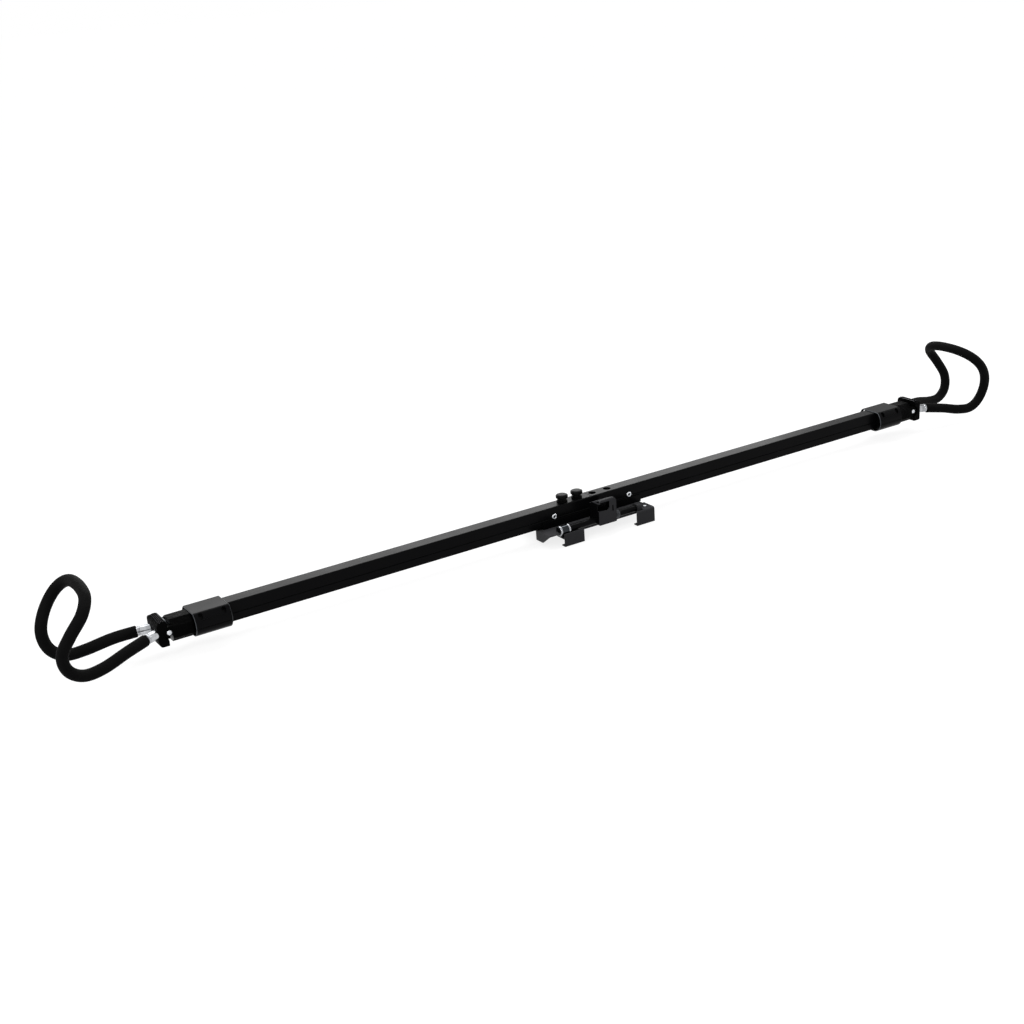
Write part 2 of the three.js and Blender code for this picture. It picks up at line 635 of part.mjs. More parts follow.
function buildBracket(group) {
  add(group, "saddle_channel", saddleChannel(), BLACK_STEEL);
  add(group, "rack_plate", rackPlate(), BLACK_STEEL);

  const hole = ({ x, y }) => rod([x, y, PLATE_BOTTOM], [x, y, WEB_TOP + PAST], CLIP_SCREW.shank + GAP);
  const bracketRoom = block(
    [RIGHT_CLIP.from - PAST, -CLIP_OUTER + PLATE, SHAFT.z - SHAFT.radius - 4],
    [SHAFT_BRACKET.to + GAP, 0, WEB_TOP + PAST],
  );
  const frontRight = cut(alongX(webClipOutline(), RIGHT_CLIP.from, RIGHT_CLIP.to), bracketRoom);
  add(group, "front_right_clip", cut(frontRight, hole(WEB_SCREWS[0])), BLACK_STEEL);
  const backs = { back_left: LEFT_CLIP, back_right: RIGHT_CLIP };
  for (const [name, { from, to }] of Object.entries(backs)) {
    const clip = alongX(webClipOutline(), from, to).mirror([0, 1, 0]);
    const screw = WEB_SCREWS.find((place) => place.name === name);
    add(group, name + "_clip", cut(clip, hole(screw)), BLACK_STEEL);
  }
  const sideHole = rod(
    [SIDE_SCREW.x, FRONT_FLANGE.y, SIDE_SCREW.z],
    [SIDE_SCREW.x, FLANGE_BACK + GAP + PLATE + PAST, SIDE_SCREW.z],
    CLIP_SCREW.shank + GAP,
  );
  const frontLeft = cut(alongX(hangingClipOutline(), LEFT_CLIP.from, LEFT_CLIP.to), sideHole);
  add(group, "front_left_clip", frontLeft, BLACK_STEEL);

  for (const { name, x, y } of WEB_SCREWS) {
    add(group, name + "_clip_screw", clipScrew(2 * PLATE + CLIP_SCREW.end).translate([x, y, WEB_TOP]), ZINC);
  }
  const sideScrew = clipScrew(FRONT_FLANGE.wall + PLATE + CLIP_SCREW.end)
    .rotate([90, 0, 0])
    .translate([SIDE_SCREW.x, FRONT_FLANGE.y, SIDE_SCREW.z]);
  add(group, "front_left_clip_screw", sideScrew, ZINC);
}

// ---- Release lever -----------------------------------------------------------------------------

/** Outline in (Y, Z) of the lever seen from its end, shrunk by a wall where it is cut hollow. */
function leverOutline() {
  const { front, bottom, top, back } = LEVER;
  const { run, edge, drop } = LEVER_NOSE;
  return polygon([
    [front, bottom],
    [SHAFT.y, bottom],
    [SHAFT.y + LEVER_EAR, SHAFT.z],
    [SHAFT.y + LEVER_EAR, LEVER_BACK.bottom],
    [back, LEVER_BACK.bottom],
    [back, LEVER_BACK.top],
    [front + run, top],
    [front + edge, top - drop / 4],
    [front, top - drop],
  ]);
}

/** The hollow under the lever's front plate, roof and cheeks: open below and behind. */
function leverHollow() {
  const { front, wall, top, back } = LEVER;
  const fold = front + LEVER_NOSE.run;
  const slope = (top - LEVER_BACK.top) / (back - fold);
  const roof = (y) => top - wall * Math.hypot(1, slope) - slope * (y - fold);
  return polygon([
    [front + wall, LEVER.bottom - PAST],
    [back + PAST, LEVER.bottom - PAST],
    [back + PAST, roof(back + PAST)],
    [fold, roof(fold)],
    [front + wall, top - LEVER_NOSE.drop - wall / 2],
  ]);
}

function leverHousing() {
  const { from, to, wall, front, back } = LEVER;
  const shell = alongX(leverOutline(), from, to);
  const ears = [[from, from + wall], [to - wall, to]].map(([a, b]) =>
    rod([a, SHAFT.y, SHAFT.z], [b, SHAFT.y, SHAFT.z], LEVER_EAR),
  );
  const hollow = alongX(leverHollow(), from + wall, to - wall);
  const bore = rod([from - PAST, SHAFT.y, SHAFT.z], [to + PAST, SHAFT.y, SHAFT.z], SHAFT.radius + SLIP);
  const { from: windowFrom, to: windowTo, bottom, top } = LEVER_WINDOW;
  const window = block([windowFrom, front - PAST, bottom], [windowTo, front + wall + PAST, top]);
  const slot = block(
    [LEVER_SLOT.x - LEVER_SLOT.width / 2, front - PAST, LEVER_SLOT.bottom],
    [LEVER_SLOT.x + LEVER_SLOT.width / 2, front + wall + PAST, LEVER_SLOT.top],
  );
  const crossWeb = block(
    [from + wall / 2, TOOTH.front, TOOTH.webBottom],
    [to - wall / 2, TOOTH.back, TOOTH.webTop],
  );
  const tooth = block([TOOTH.from, TOOTH.front, TOOTH.bottom], [TOOTH.to, TOOTH.back, TOOTH.webTop]);
  const room = block(
    [from - PAST, SHAFT.y, LEVER.bottom - PAST],
    [to + PAST, back + PAST, PLATE_TOP + LEVER_LIFT],
  );
  const body = join(cut(shell, room, hollow), ...ears);
  return join(cut(body, bore, window, slot), crossWeb, tooth);
}

/** A torsion spring round the shaft, with one leg resting on the rack plate. */
function leverSpring() {
  const { wire, turns, clear, pitch, leg } = LEVER_SPRING;
  const radius = SHAFT.radius + SLIP + wire;
  const perTurn = 10;
  const stations = Array.from({ length: turns * perTurn + 1 }, (_, i) => {
    const angle = (2 * Math.PI * i) / perTurn;
    return new THREE.Vector3(
      LEVER.to + clear + wire + (pitch * i) / perTurn,
      SHAFT.y + radius * Math.sin(angle),
      SHAFT.z + radius * Math.cos(angle),
    );
  });
  const bend = stations.at(-1).clone();
  bend.y += radius * LEVER_SPRING.bend;
  const rest = new THREE.Vector3(bend.x, SHAFT.y + leg, PLATE_TOP + GAP + wire);
  stations.push(bend, rest);
  return sweep(stations, wire, 0, 5);
}

function buildLever(group) {
  const at = (x) => [x, SHAFT.y, SHAFT.z];
  add(group, "release_lever", leverHousing(), BLACK_PAINT);
  add(group, "lever_shaft", rod(at(SHAFT.from), at(SHAFT.to), SHAFT.radius), BLACK_STEEL);
  const socket = SHAFT.radius + SLIP;
  const bearing = cut(
    rod(at(SHAFT_BEARING.from), at(SHAFT_BEARING.to), SHAFT_BEARING.radius),
    rod(at(SHAFT.from - GAP), at(SHAFT_BEARING.to + PAST), socket),
  );
  add(group, "shaft_bearing", bearing, CHROME);
  const { from, to, halfDepth, rise, topCorner, bottomCorner } = SHAFT_BRACKET;
  const outline = roundedBox(halfDepth, -rise, rise, topCorner, bottomCorner);
  const bracket = cut(
    alongX(outline, from, to).translate([0, SHAFT.y, SHAFT.z]),
    rod(at(from - PAST), at(SHAFT.to + GAP), socket),
  );
  add(group, "shaft_bracket", bracket, BLACK_STEEL);
  add(group, "lever_spring", leverSpring(), SPRING_STEEL);
}

// ---- Collars -----------------------------------------------------------------------------------

/** Outline in (Y, Z) of the collar: flat top, sloping shoulders and rounded sides, anticlockwise. */
function collarPoints() {
  const right = [
    [18, -25.5],
    [25.5, -22.3],
    [31, -17.8],
    [34.6, -12],
    [36, -5],
    [35.2, 3],
    [32, 11],
    [21.5, 22.5],
  ];
  const left = right.map(([y, z]) => [-y, z]).reverse();
  return [...right, ...left];
}

/** Where each set screw enters the collar's shoulder, and the way it points. */
function shoulderScrews() {
  const [low, high] = collarPoints().slice(6, 8);
  const middle = [(low[0] + high[0]) / 2, (low[1] + high[1]) / 2];
  const length = Math.hypot(high[0] - low[0], high[1] - low[1]);
  const outward = [(high[1] - low[1]) / length, (low[0] - high[0]) / length];
  const place = (x, side, depth) => [
    x,
    side * (middle[0] - outward[0] * depth),
    middle[1] - outward[1] * depth,
  ];
  return [-1, 1].flatMap((side) =>
    COLLAR_SCREWS.map((x, index) => ({
      name: (side < 0 ? "front" : "back") + "_set_screw_" + (index + 1),
      at: (depth) => place(x, side, depth),
    })),
  );
}

function buildCollar(group, side) {
  const { wall, seam } = COLLAR;
  const from = COLLAR_FROM;
  const to = COLLAR_TO;
  const outer = collarPoints();
  const reach = Math.max(...outer.flat()) + PAST;
  const shell = cut(
    alongX(polygon(outer), from, to),
    alongX(polygon(inset(outer, wall)), from - PAST, to + PAST),
  );
  const screws = shoulderScrews();
  const hole = (screw, end) => rod(screw.at(-3), screw.at(end), SET_SCREW.radius + GAP);
  const screwEnd = SET_SCREW.recess + SET_SCREW.length;
  const above = block([from - PAST, -reach, seam + GAP / 2], [to + PAST, reach, reach]);
  const upper = cut(shell.intersect(above), ...screws.map((screw) => hole(screw, wall + PAST)));
  const below = block([from - PAST, -reach, -reach], [to + PAST, reach, seam - GAP / 2]);
  add(group, side + "_collar_upper_shell", upper, BLACK_PAINT);
  add(group, side + "_collar_lower_shell", shell.intersect(below), BLACK_PAINT);

  const linerFrom = from + COLLAR_LINER.innerRecess;
  const linerTo = to - COLLAR_LINER.outerRecess;
  const barHole = alongX(
    roundedBox(BAR_HALF_WIDTH + GAP, -BAR_TOP - GAP, BAR_TOP + GAP, BAR_CORNER, BAR_CORNER),
    linerFrom - PAST,
    linerTo + PAST,
    3,
  );
  const openTop = block(
    [linerFrom - PAST, -BAR_HALF_WIDTH - GAP, BAR_TOP - BAR_CORNER - PAST],
    [linerTo + PAST, BAR_HALF_WIDTH + GAP, reach],
  );
  const liner = cut(
    alongX(polygon(inset(outer, wall + GAP)), linerFrom, linerTo),
    barHole,
    openTop,
    ...screws.map((screw) => hole(screw, screwEnd + GAP)),
  );
  add(group, side + "_collar_liner", liner, BLACK_PLASTIC);
  for (const screw of screws) {
    const shank = rod(screw.at(SET_SCREW.recess), screw.at(screwEnd), SET_SCREW.radius);
    const key = rod(screw.at(-1), screw.at(SET_SCREW.recess + SET_SCREW.hexDepth), SET_SCREW.hex, 6);
    add(group, side + "_" + screw.name, cut(shank, key), BLACK_STEEL);
  }
}

// ---- Telescopic arms ---------------------------------------------------------------------------

/** Outline in (Y, Z) of the arm head: a block with its long edges cut off. */
function headOutline() {
  const { halfWidth, topFlat, top, bottom } = HEAD;
  const right = [
    [HEAD_SHOULDER.bottomFlat, bottom],
    [halfWidth, HEAD_SHOULDER.bottom],
    [halfWidth, HEAD_SHOULDER.top],
    [topFlat, top],
  ];
  return polygon([...right, ...right.map(([y, z]) => [-y, z]).reverse()]);
}

function armHead() {
  const body = alongX(headOutline(), HEAD.inner, HEAD.outer);
  const { radius, outer } = CHEEK;
  const slot = TONGUE.halfWidth + GAP;
  const cheek = new THREE.Shape();
  cheek.moveTo(HEAD.outer - 3, -radius);
  cheek.absarc(0, 0, radius, -Math.PI / 2, Math.PI / 2);
  cheek.lineTo(HEAD.outer - 3, radius);
  const cheeks = [alongY(cheek, slot, outer), alongY(cheek, -outer, -slot)];
  const tongueSlot = block(
    [HEAD.outer - SLOT_DEPTH, -slot, HEAD.bottom - PAST],
    [radius + PAST, slot, HEAD.top + PAST],
  );
  const socket = alongX(innerOutline(FIT - GAP), HEAD.inner - 1, HEAD.inner + HEAD_SOCKET_DEPTH, 2);
  const boltHole = rod([0, -KNUCKLE.halfWidth, 0], [0, KNUCKLE.halfWidth, 0], BOLT.radius + SLIP);
  return cut(join(body, ...cheeks), tongueSlot, socket, boltHole);
}

function armTube() {
  const to = HEAD.inner + HEAD_SOCKET_DEPTH - GAP;
  const tube = alongX(innerOutline(FIT), to - ARM_LENGTH, to, 2);
  return cut(tube, alongX(innerOutline(FIT + ARM_WALL), to - ARM_LENGTH - 1, to + PAST, 2));
}

function hingeNut() {
  const inner = CHEEK.outer + GAP;
  const body = rod([0, inner, 0], [0, inner + BOLT.nutHeight, 0], BOLT.nut, 6);
  return cut(body, rod([0, inner - 1, 0], [0, inner + 9, 0], BOLT.radius + GAP));
}

function hingeBolt() {
  const seat = -CHEEK.outer - GAP;
  const end = CHEEK.outer + GAP + BOLT.nutHeight + 1;
  const shank = rod([0, seat - GAP, 0], [0, end, 0], BOLT.radius);
  const head = rod([0, seat - BOLT.headHeight, 0], [0, seat, 0], BOLT.head);
  return join(shank, head);
}

function buildArm(group, side) {
  add(group, side + "_arm_tube", armTube(), BLACK_PAINT);
  add(group, side + "_arm_head", armHead(), BLACK_STEEL);
  add(group, side + "_hinge_bolt", hingeBolt(), ZINC);
  add(group, side + "_hinge_nut", hingeNut(), ZINC);
}

// ---- Knuckles and grip loops -------------------------------------------------------------------

/** Stations along the whole loop, from one socket round to the other, and which ones the grip covers. */
function loopStations() {
  const near = LOOP_LEG.map(([x, y, z]) => new THREE.Vector3(x, -y, z));
  const far = LOOP_LEG.map(([x, y, z]) => new THREE.Vector3(x, y, z)).reverse();
  const top = new THREE.Vector3(...LOOP_TOP);
  const curve = new THREE.CatmullRomCurve3([...near, top, ...far], false, "catmullrom");
  curve.arcLengthDivisions = 800;
  const length = curve.getLength();
  const { x: straight, y, z } = near[1].clone().sub(near[0]).normalize();
  const lean = Math.hypot(y, z) / straight;
  const face = (KNUCKLE.outer - SOCKET_FLOOR) / straight;
  const ferruleFrom = face - FERRULE.radius * lean - FERRULE.sunk;
  const gripFrom = ferruleFrom + FERRULE.length + GRIP_GAP;
  const spaced = Array.from(
    { length: LOOP_STEPS + 1 },
    (_, i) => gripFrom + ((length - 2 * gripFrom) * i) / LOOP_STEPS,
  );
  const ends = [0, ferruleFrom, gripFrom - GRIP_GAP];
  const distances = [...ends, ...spaced, ...ends.map((end) => length - end).reverse()];
  return distances.map((distance) => curve.getPointAt(distance / length));
}

function knuckle(stations) {
  const { inner, outer, halfWidth, halfHeight, topCorner, bottomCorner } = KNUCKLE;
  const body = alongX(roundedBox(halfWidth, -halfHeight, halfHeight, topCorner, bottomCorner), inner, outer);
  const pocketFrom = TONGUE.halfWidth;
  const pockets = [-1, 1].map((way) =>
    rod([0, way * pocketFrom, 0], [0, way * (halfWidth + 1), 0], CHEEK.radius + 2 * GAP, 24),
  );
  const tongue = new THREE.Shape();
  tongue.moveTo(0, -TONGUE.radius);
  tongue.lineTo(inner + 2, -TONGUE.radius);
  tongue.lineTo(inner + 2, TONGUE.radius);
  tongue.lineTo(0, TONGUE.radius);
  tongue.absarc(0, 0, TONGUE.radius, Math.PI / 2, (3 * Math.PI) / 2);
  const middle = alongY(tongue, -TONGUE.halfWidth, TONGUE.halfWidth);
  const boltHole = rod([0, -KNUCKLE.halfWidth, 0], [0, KNUCKLE.halfWidth, 0], BOLT.radius + SLIP);
  const legs = [stations.slice(0, 2), stations.slice(-2).reverse()];
  const sockets = legs.map(([floor, mouth]) => {
    const along = mouth.clone().sub(floor).normalize();
    const point = (from, distance) => from.clone().addScaledVector(along, distance).toArray();
    const bore = rod(point(floor, -GAP), point(mouth, 9), LOOP_ROD + FIT);
    return join(bore, rod(point(mouth, -GAP), point(mouth, 12), FERRULE.radius + GAP));
  });
  return cut(join(cut(body, ...pockets), middle), boltHole, ...sockets);
}

function buildLoop(group, side) {
  const stations = loopStations();
  add(group, side + "_knuckle", knuckle(stations), BLACK_STEEL);
  add(group, side + "_loop_rod", sweep(stations, LOOP_ROD), ZINC);
  const ferrules = { front: stations.slice(1, 3), back: stations.slice(-3, -1) };
  for (const [place, route] of Object.entries(ferrules)) {
    add(group, side + "_" + place + "_ferrule", sweep(route, FERRULE.radius, LOOP_ROD + FIT), CHROME);
  }
  add(group, side + "_foam_grip", sweep(stations.slice(3, -3), GRIP_RADIUS, LOOP_ROD + FIT), FOAM);
}

// ---- Assembly ----------------------------------------------------------------------------------

// The part's origin is on the surface under the clips' lips, below the middle of the bar.
const body = new THREE.Group();
body.position.z = -CLIP_BOTTOM;
part.add(body);

buildBar(body);
buildPullPins(body);
buildBracket(body);
buildLever(body);

// Both ends are the same parts, mirrored end for end.
for (const [side, direction] of [["left", -1], ["right", 1]]) {
  const end = new THREE.Group();
  end.scale.x = direction;
  body.add(end);
  buildCollar(end, side);
  const hinge = new THREE.Group();
  hinge.position.x = BOLT_X;
  end.add(hinge);
  buildArm(hinge, side);
  buildLoop(hinge, side);
}

export default part;
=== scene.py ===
import logging
import math
from dataclasses import dataclass
from enum import Enum
from typing import Callable, Sequence

import bmesh
import bpy
import numpy as np
from mathutils import Matrix, Vector


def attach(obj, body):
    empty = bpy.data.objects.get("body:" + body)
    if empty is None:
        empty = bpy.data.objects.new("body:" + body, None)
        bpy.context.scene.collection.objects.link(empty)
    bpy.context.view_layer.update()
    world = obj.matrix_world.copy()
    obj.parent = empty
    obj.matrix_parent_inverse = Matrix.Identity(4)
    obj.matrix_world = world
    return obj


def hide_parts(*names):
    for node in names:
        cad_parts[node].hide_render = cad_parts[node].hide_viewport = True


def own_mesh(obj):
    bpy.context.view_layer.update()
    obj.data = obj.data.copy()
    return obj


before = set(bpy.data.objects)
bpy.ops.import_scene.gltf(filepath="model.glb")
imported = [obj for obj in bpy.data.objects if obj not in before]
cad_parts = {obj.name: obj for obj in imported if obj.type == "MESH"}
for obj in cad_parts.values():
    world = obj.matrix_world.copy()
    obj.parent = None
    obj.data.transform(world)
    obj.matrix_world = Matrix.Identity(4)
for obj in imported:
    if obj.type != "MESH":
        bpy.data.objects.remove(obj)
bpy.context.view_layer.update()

LOG = logging.getLogger("pull_up_bar")

# The pull up bar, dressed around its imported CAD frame. Each sub-assembly is a class that holds its sizes
# and makes its own pieces, and main() builds them in order.

MM = 0.001  # every size below is in millimetres, and every mesh is in metres
BAR_CENTRE = 52.0  # height of the bar's centre line above the surface it lies on
SMOOTH_BELOW = math.radians(38)  # edges sharper than this stay crisp
FLAT_WITHIN = math.radians(0.8)  # neighbouring triangles that turn less than this are one flat
MERGE = 2e-6  # corners closer than this, in metres, are one corner
PAST = 5.0  # how far a cutter runs past the faces it opens
UNDER_HALF = 0.48  # the most of a side that the rounding at one of its ends takes up


class Side(Enum):
    """The two ends of the bar, valued by the way they point along X."""

    LEFT = -1
    RIGHT = 1

    @property
    def label(self) -> str:
        """The word that this end's CAD nodes start with."""
        return self.name.lower()


class Axis(Enum):
    """The direction that a profile is carried along, valued by its place in a point."""

    X = 0
    Y = 1
    Z = 2


# ---- Numpy shapes -------------------------------------------------------------------------------


def fillet(
    corners: Sequence[Sequence[float]], radius: float, closed: bool = True, steps: int = 5
) -> np.ndarray:
    """Rounds the corners of a flat outline.

    Each corner C gives way to the curve (1 - t)^2 A + 2 t (1 - t) C + t^2 B, where A and B lie on the
    two sides that meet there, one radius from C or under half a side, whichever is less.

    Args:
        corners: the outline's corners in order.
        radius: how far along each side the rounding starts.
        closed: whether the last corner joins the first; an open outline keeps its two ends.
        steps: points on each rounded corner.

    Returns:
        The rounded outline, one point a row.
    """
    c = np.asarray(corners, float)

    def start(side: np.ndarray) -> np.ndarray:
        """Where the rounding starts on the sides that leave the corners this way."""
        return c + side * np.minimum(radius / np.linalg.norm(side, axis=1), UNDER_HALF)[:, None]

    a, b = start(np.roll(c, 1, 0) - c), start(np.roll(c, -1, 0) - c)
    t = np.linspace(0, 1, steps)[:, None, None]
    curve = (1 - t) ** 2 * a + 2 * t * (1 - t) * c + t**2 * b
    curve = curve.transpose(1, 0, 2)
    if closed:
        return curve.reshape(-1, 2)
    return np.concatenate([c[:1], curve[1:-1].reshape(-1, 2), c[-1:]])


def rounded_rectangle(half_width: float, half_height: float, radius: float, steps: int = 7) -> np.ndarray:
    """A rectangle whose corners are quarter circles of the given radius.

    Args:
        half_width: half of the first dimension.
        half_height: half of the second dimension.
        radius: corner radius.
        steps: points on each corner.

    Returns:
        The outline's points, anticlockwise.
    """
    turn = np.linspace(0, math.pi / 2, steps)
    starts = np.arange(4)[:, None] * math.pi / 2
    signs = np.array([[1, 1], [-1, 1], [-1, -1], [1, -1]], float)
    centres = signs * (half_width - radius, half_height - radius)
    angle = starts + turn[None, :]
    arcs = np.stack([np.cos(angle), np.sin(angle)], -1) * radius
    return (centres[:, None, :] + arcs).reshape(-1, 2)


def piece_from(name: str, points: np.ndarray, faces: list) -> bpy.types.Object:
    """Makes a closed, outward-facing mesh object at the origin.

    Args:
        name: the piece's name.
        points: corners in millimetres, measured from the bar's centre line at mid length.
        faces: the corners of each face.

    Returns:
        The object, linked to the scene, with smooth faces and crisp edges.
    """
    mesh = bpy.data.meshes.new(name)
    metres = (points + (0, 0, BAR_CENTRE)) * MM
    mesh.from_pydata(metres.tolist(), [], faces)
    shell = bmesh.new()
    shell.from_mesh(mesh)
    bmesh.ops.remove_doubles(shell, verts=shell.verts, dist=MERGE)
    bmesh.ops.recalc_face_normals(shell, faces=shell.faces)
    shell.to_mesh(mesh)
    shell.free()
    piece = bpy.data.objects.new(name, mesh)
    bpy.context.scene.collection.objects.link(piece)
    smooth(piece)
    return piece


def smooth(piece: bpy.types.Object) -> None:
    """Shades a piece smooth, and leaves its sharp edges crisp."""
    piece.data.shade_smooth()
    piece.data.set_sharp_from_angle(angle=SMOOTH_BELOW)


def net(name: str, rings: np.ndarray, ring_loop: bool = False, caps: bool = True) -> bpy.types.Object:
    """Makes a piece from rings of points, each closed on itself, joined one to the next by quads.

    Args:
        name: the piece's name.
        rings: points as (ring, place on the ring, xyz), in millimetres.
        ring_loop: whether the last ring joins the first, as on a tube with a bore.
        caps: whether the first and last rings are filled.

    Returns:
        The object.
    """
    count, size = rings.shape[:2]
    row = np.arange(count if ring_loop else count - 1)[:, None]
    column = np.arange(size)[None, :]
    ahead, beside = (row + 1) % count, (column + 1) % size
    corners = [row * size + column, row * size + beside, ahead * size + beside, ahead * size + column]
    faces = np.stack(np.broadcast_arrays(*corners), -1).reshape(-1, 4).tolist()
    if caps and not ring_loop:
        faces += [list(range(size))[::-1], list(range((count - 1) * size, count * size))]
    return piece_from(name, rings.reshape(-1, 3), faces)


def turned(
    name: str,
    profile: np.ndarray,
    start: Sequence[float],
    direction: Sequence[float] = (0, 0, 1),
    sides: int = 48,
    bored: bool = False,
) -> bpy.types.Object:
    """Turns a profile of (radius, height) about an axis.

    The point at height h, radius r and angle a is start + direction h + u r cos a + v r sin a, where u
    and v are square to the direction.

    Args:
        name: the piece's name.
        profile: radius and height, one row a point; a bored piece's profile is a closed outline.
        start: where height is nought.
        direction: the axis.
        sides: how many points go round.
        bored: whether the profile closes on itself, clear of the axis.

    Returns:
        The object.
    """
    axis = np.asarray(direction, float) / np.linalg.norm(direction)
    helper = (1.0, 0.0, 0.0) if abs(axis[0]) < 0.9 else (0.0, 1.0, 0.0)
    u = np.cross(axis, helper)
    u /= np.linalg.norm(u)
    v = np.cross(axis, u)
    angle = np.linspace(0, 2 * math.pi, sides, endpoint=False)
    round_way = np.cos(angle)[:, None] * u + np.sin(angle)[:, None] * v
    radius, height = profile[:, 0], profile[:, 1]
    rings = np.asarray(start, float) + height[:, None, None] * axis + radius[:, None, None] * round_way
    return net(name, rings, ring_loop=bored, caps=False)


def prism(name: str, outline: np.ndarray, axis: Axis, start: float, end: float) -> bpy.types.Object:
    """Carries a flat outline straight along an axis and fills both ends.

    Args:
        name: the piece's name.
        outline: points in the two other directions, in X, Y, Z order.
        axis: the direction to carry it.
        start: where it starts on that axis.
        end: where it ends.

    Returns:
        The object.
    """
    ends = [np.insert(outline, axis.value, place, axis=1) for place in (start, end)]
    return net(name, np.stack(ends))


def frames_along(path: np.ndarray, centre: np.ndarray) -> tuple[np.ndarray, np.ndarray]:
    """Two directions square to a path at each of its points.

    The first is the direction from the centre to the point, less its share along the path. The second is
    the cross product of the path's own direction and the first.

    Args:
        path: points, one a row.
        centre: a point that the path goes round.

    Returns:
        The two directions, each one row a point.
    """
    along = np.gradient(path, axis=0)
    along /= np.linalg.norm(along, axis=1)[:, None]
    out = path - centre
    out -= (out * along).sum(1)[:, None] * along
    out /= np.linalg.norm(out, axis=1)[:, None]
    return out, np.cross(along, out)


def tube(
    name: str,
    path: np.ndarray,
    radius: np.ndarray,
    centre: Sequence[float],
    sides: int,
    bore: float = 0.0,
) -> bpy.types.Object:
    """A round tube or rod that follows a path.

    The point at station s and angle a is path(s) + radius(s, a) (out(s) cos a + across(s) sin a).

    Args:
        name: the piece's name.
        path: the centre line's points.
        radius: the outer radius, one row a station and one column a side, or one number a station.
        centre: a point that the path goes round, which sets where each ring starts.
        sides: how many points go round.
        bore: the hole's radius, or nought for a solid rod.

    Returns:
        The object.
    """
    out, across = frames_along(path, np.asarray(centre, float))
    angle = np.linspace(0, 2 * math.pi, sides, endpoint=False)
    ways = out[:, None, :] * np.cos(angle)[:, None] + across[:, None, :] * np.sin(angle)[:, None]
    radius = radius if radius.ndim == 2 else radius[:, None]
    outer = path[:, None, :] + ways * radius[:, :, None]
    if bore <= 0:
        return net(name, outer)
    inner = path[:, None, :] + ways * bore
    return net(name, np.concatenate([outer, inner[::-1]]), ring_loop=True)


def catmull_rom(points: np.ndarray, per_span: int = 60) -> np.ndarray:
    """A smooth curve through points: on each span, the cubic whose slope at a point is half of the step
    between its two neighbours. The curve's ends mirror the last step.

    Args:
        points: what the curve goes through, one a row.
        per_span: points worked out on each span.

    Returns:
        Points along the curve.
    """
    padded = np.concatenate([2 * points[:1] - points[1:2], points, 2 * points[-1:] - points[-2:-1]])
    p0, p1, p2, p3 = (padded[i : len(padded) - 3 + i, None, :] for i in range(4))
    t = np.linspace(0, 1, per_span, endpoint=False)[None, :, None]
    s1, s2 = (p2 - p0) / 2, (p3 - p1) / 2
    a, b = 2 * p1 - 2 * p2 + s1 + s2, 3 * p2 - 3 * p1 - 2 * s1 - s2
    curve = ((a * t + b) * t + s1) * t + p1
    return np.concatenate([curve.reshape(-1, 3), points[-1:]])


class Cut(Enum):
    """What carve does with the other pieces, valued by Blender's name for it."""

    AWAY = "DIFFERENCE"
    KEEP = "INTERSECT"
    JOIN = "UNION"


def carve(piece: bpy.types.Object, *cutters: bpy.types.Object, way: Cut = Cut.AWAY) -> bpy.types.Object:
    """Cuts other closed pieces out of this one, keeps only what lies in them, or joins them to it.

    Args:
        piece: what is cut.
        *cutters: the other pieces, which are gone afterwards.
        way: what is done with them.

    Returns:
        The piece.
    """
    for cutter in cutters:
        modifier = piece.modifiers.new("cut", "BOOLEAN")
        modifier.operation, modifier.solver, modifier.object = way.value, "EXACT", cutter
    bpy.context.view_layer.update()
    done = bpy.data.meshes.new_from_object(piece.evaluated_get(bpy.context.evaluated_depsgraph_get()))
    piece.modifiers.clear()
    old, piece.data = piece.data, done
    done.name = piece.name
    bpy.data.meshes.remove(old)
    for cutter in cutters:
        bpy.data.objects.remove(cutter)
    smooth(piece)
    return piece


def drill(start: Sequence[float], end: Sequence[float], radius: float, sides: int = 32) -> bpy.types.Object:
    """A plain round cutter, to be taken away by carve.

    Args:
        start: the middle of its first end.
        end: the middle of its other end.
        radius: its radius, or that of its corners where it has few sides.
        sides: how many flats go round.

    Returns:
        The cutter.
    """
    way = np.subtract(end, start)
    length = float(np.linalg.norm(way))
    profile = np.array([(0, 0), (radius, 0), (radius, length), (0, length)], float)
    return turned("drill", profile, start, way, sides)


def soften(piece: bpy.types.Object, width: float, segments: int = 3) -> bpy.types.Object:
    """Rounds a piece's sharp edges, so that they catch the light, and keeps its flats flat.

    Args:
        piece: the piece.
        width: how wide the rounding is, in millimetres.
        segments: steps across the rounding.

    Returns:
        The piece.
    """
    bevel = piece.modifiers.new("edges", "BEVEL")
    bevel.limit_method, bevel.angle_limit = "ANGLE", SMOOTH_BELOW
    bevel.width, bevel.segments = width * MM, segments
    bevel.use_clamp_overlap = True
    bevel.miter_outer = "MITER_ARC"
    weigh(piece)
    return piece


def weigh(piece: bpy.types.Object) -> bpy.types.Object:
    """Weights a piece's normals by face area, so that wide flats stay flat beside small roundings.

    Args:
        piece: the piece.

    Returns:
        The same piece.
    """
    normals = piece.modifiers.new("flats", "WEIGHTED_NORMAL")
    normals.mode, normals.weight, normals.keep_sharp = "FACE_AREA", 50, True
    return piece


def cad_copy(node: str) -> bpy.types.Object:
    """A copy of a CAD node with its triangles merged into whole flats, ready to be softened.

    Args:
        node: the CAD node's name.

    Returns:
        The copy, named after the node.
    """
    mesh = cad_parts[node].data.copy()
    mesh.materials.clear()
    for attribute in [a for a in mesh.attributes if a.name == "custom_normal"]:
        mesh.attributes.remove(attribute)
    piece = bpy.data.objects.new(node + "_finished", mesh)
    bpy.context.scene.collection.objects.link(piece)
    return merge_flats(piece)


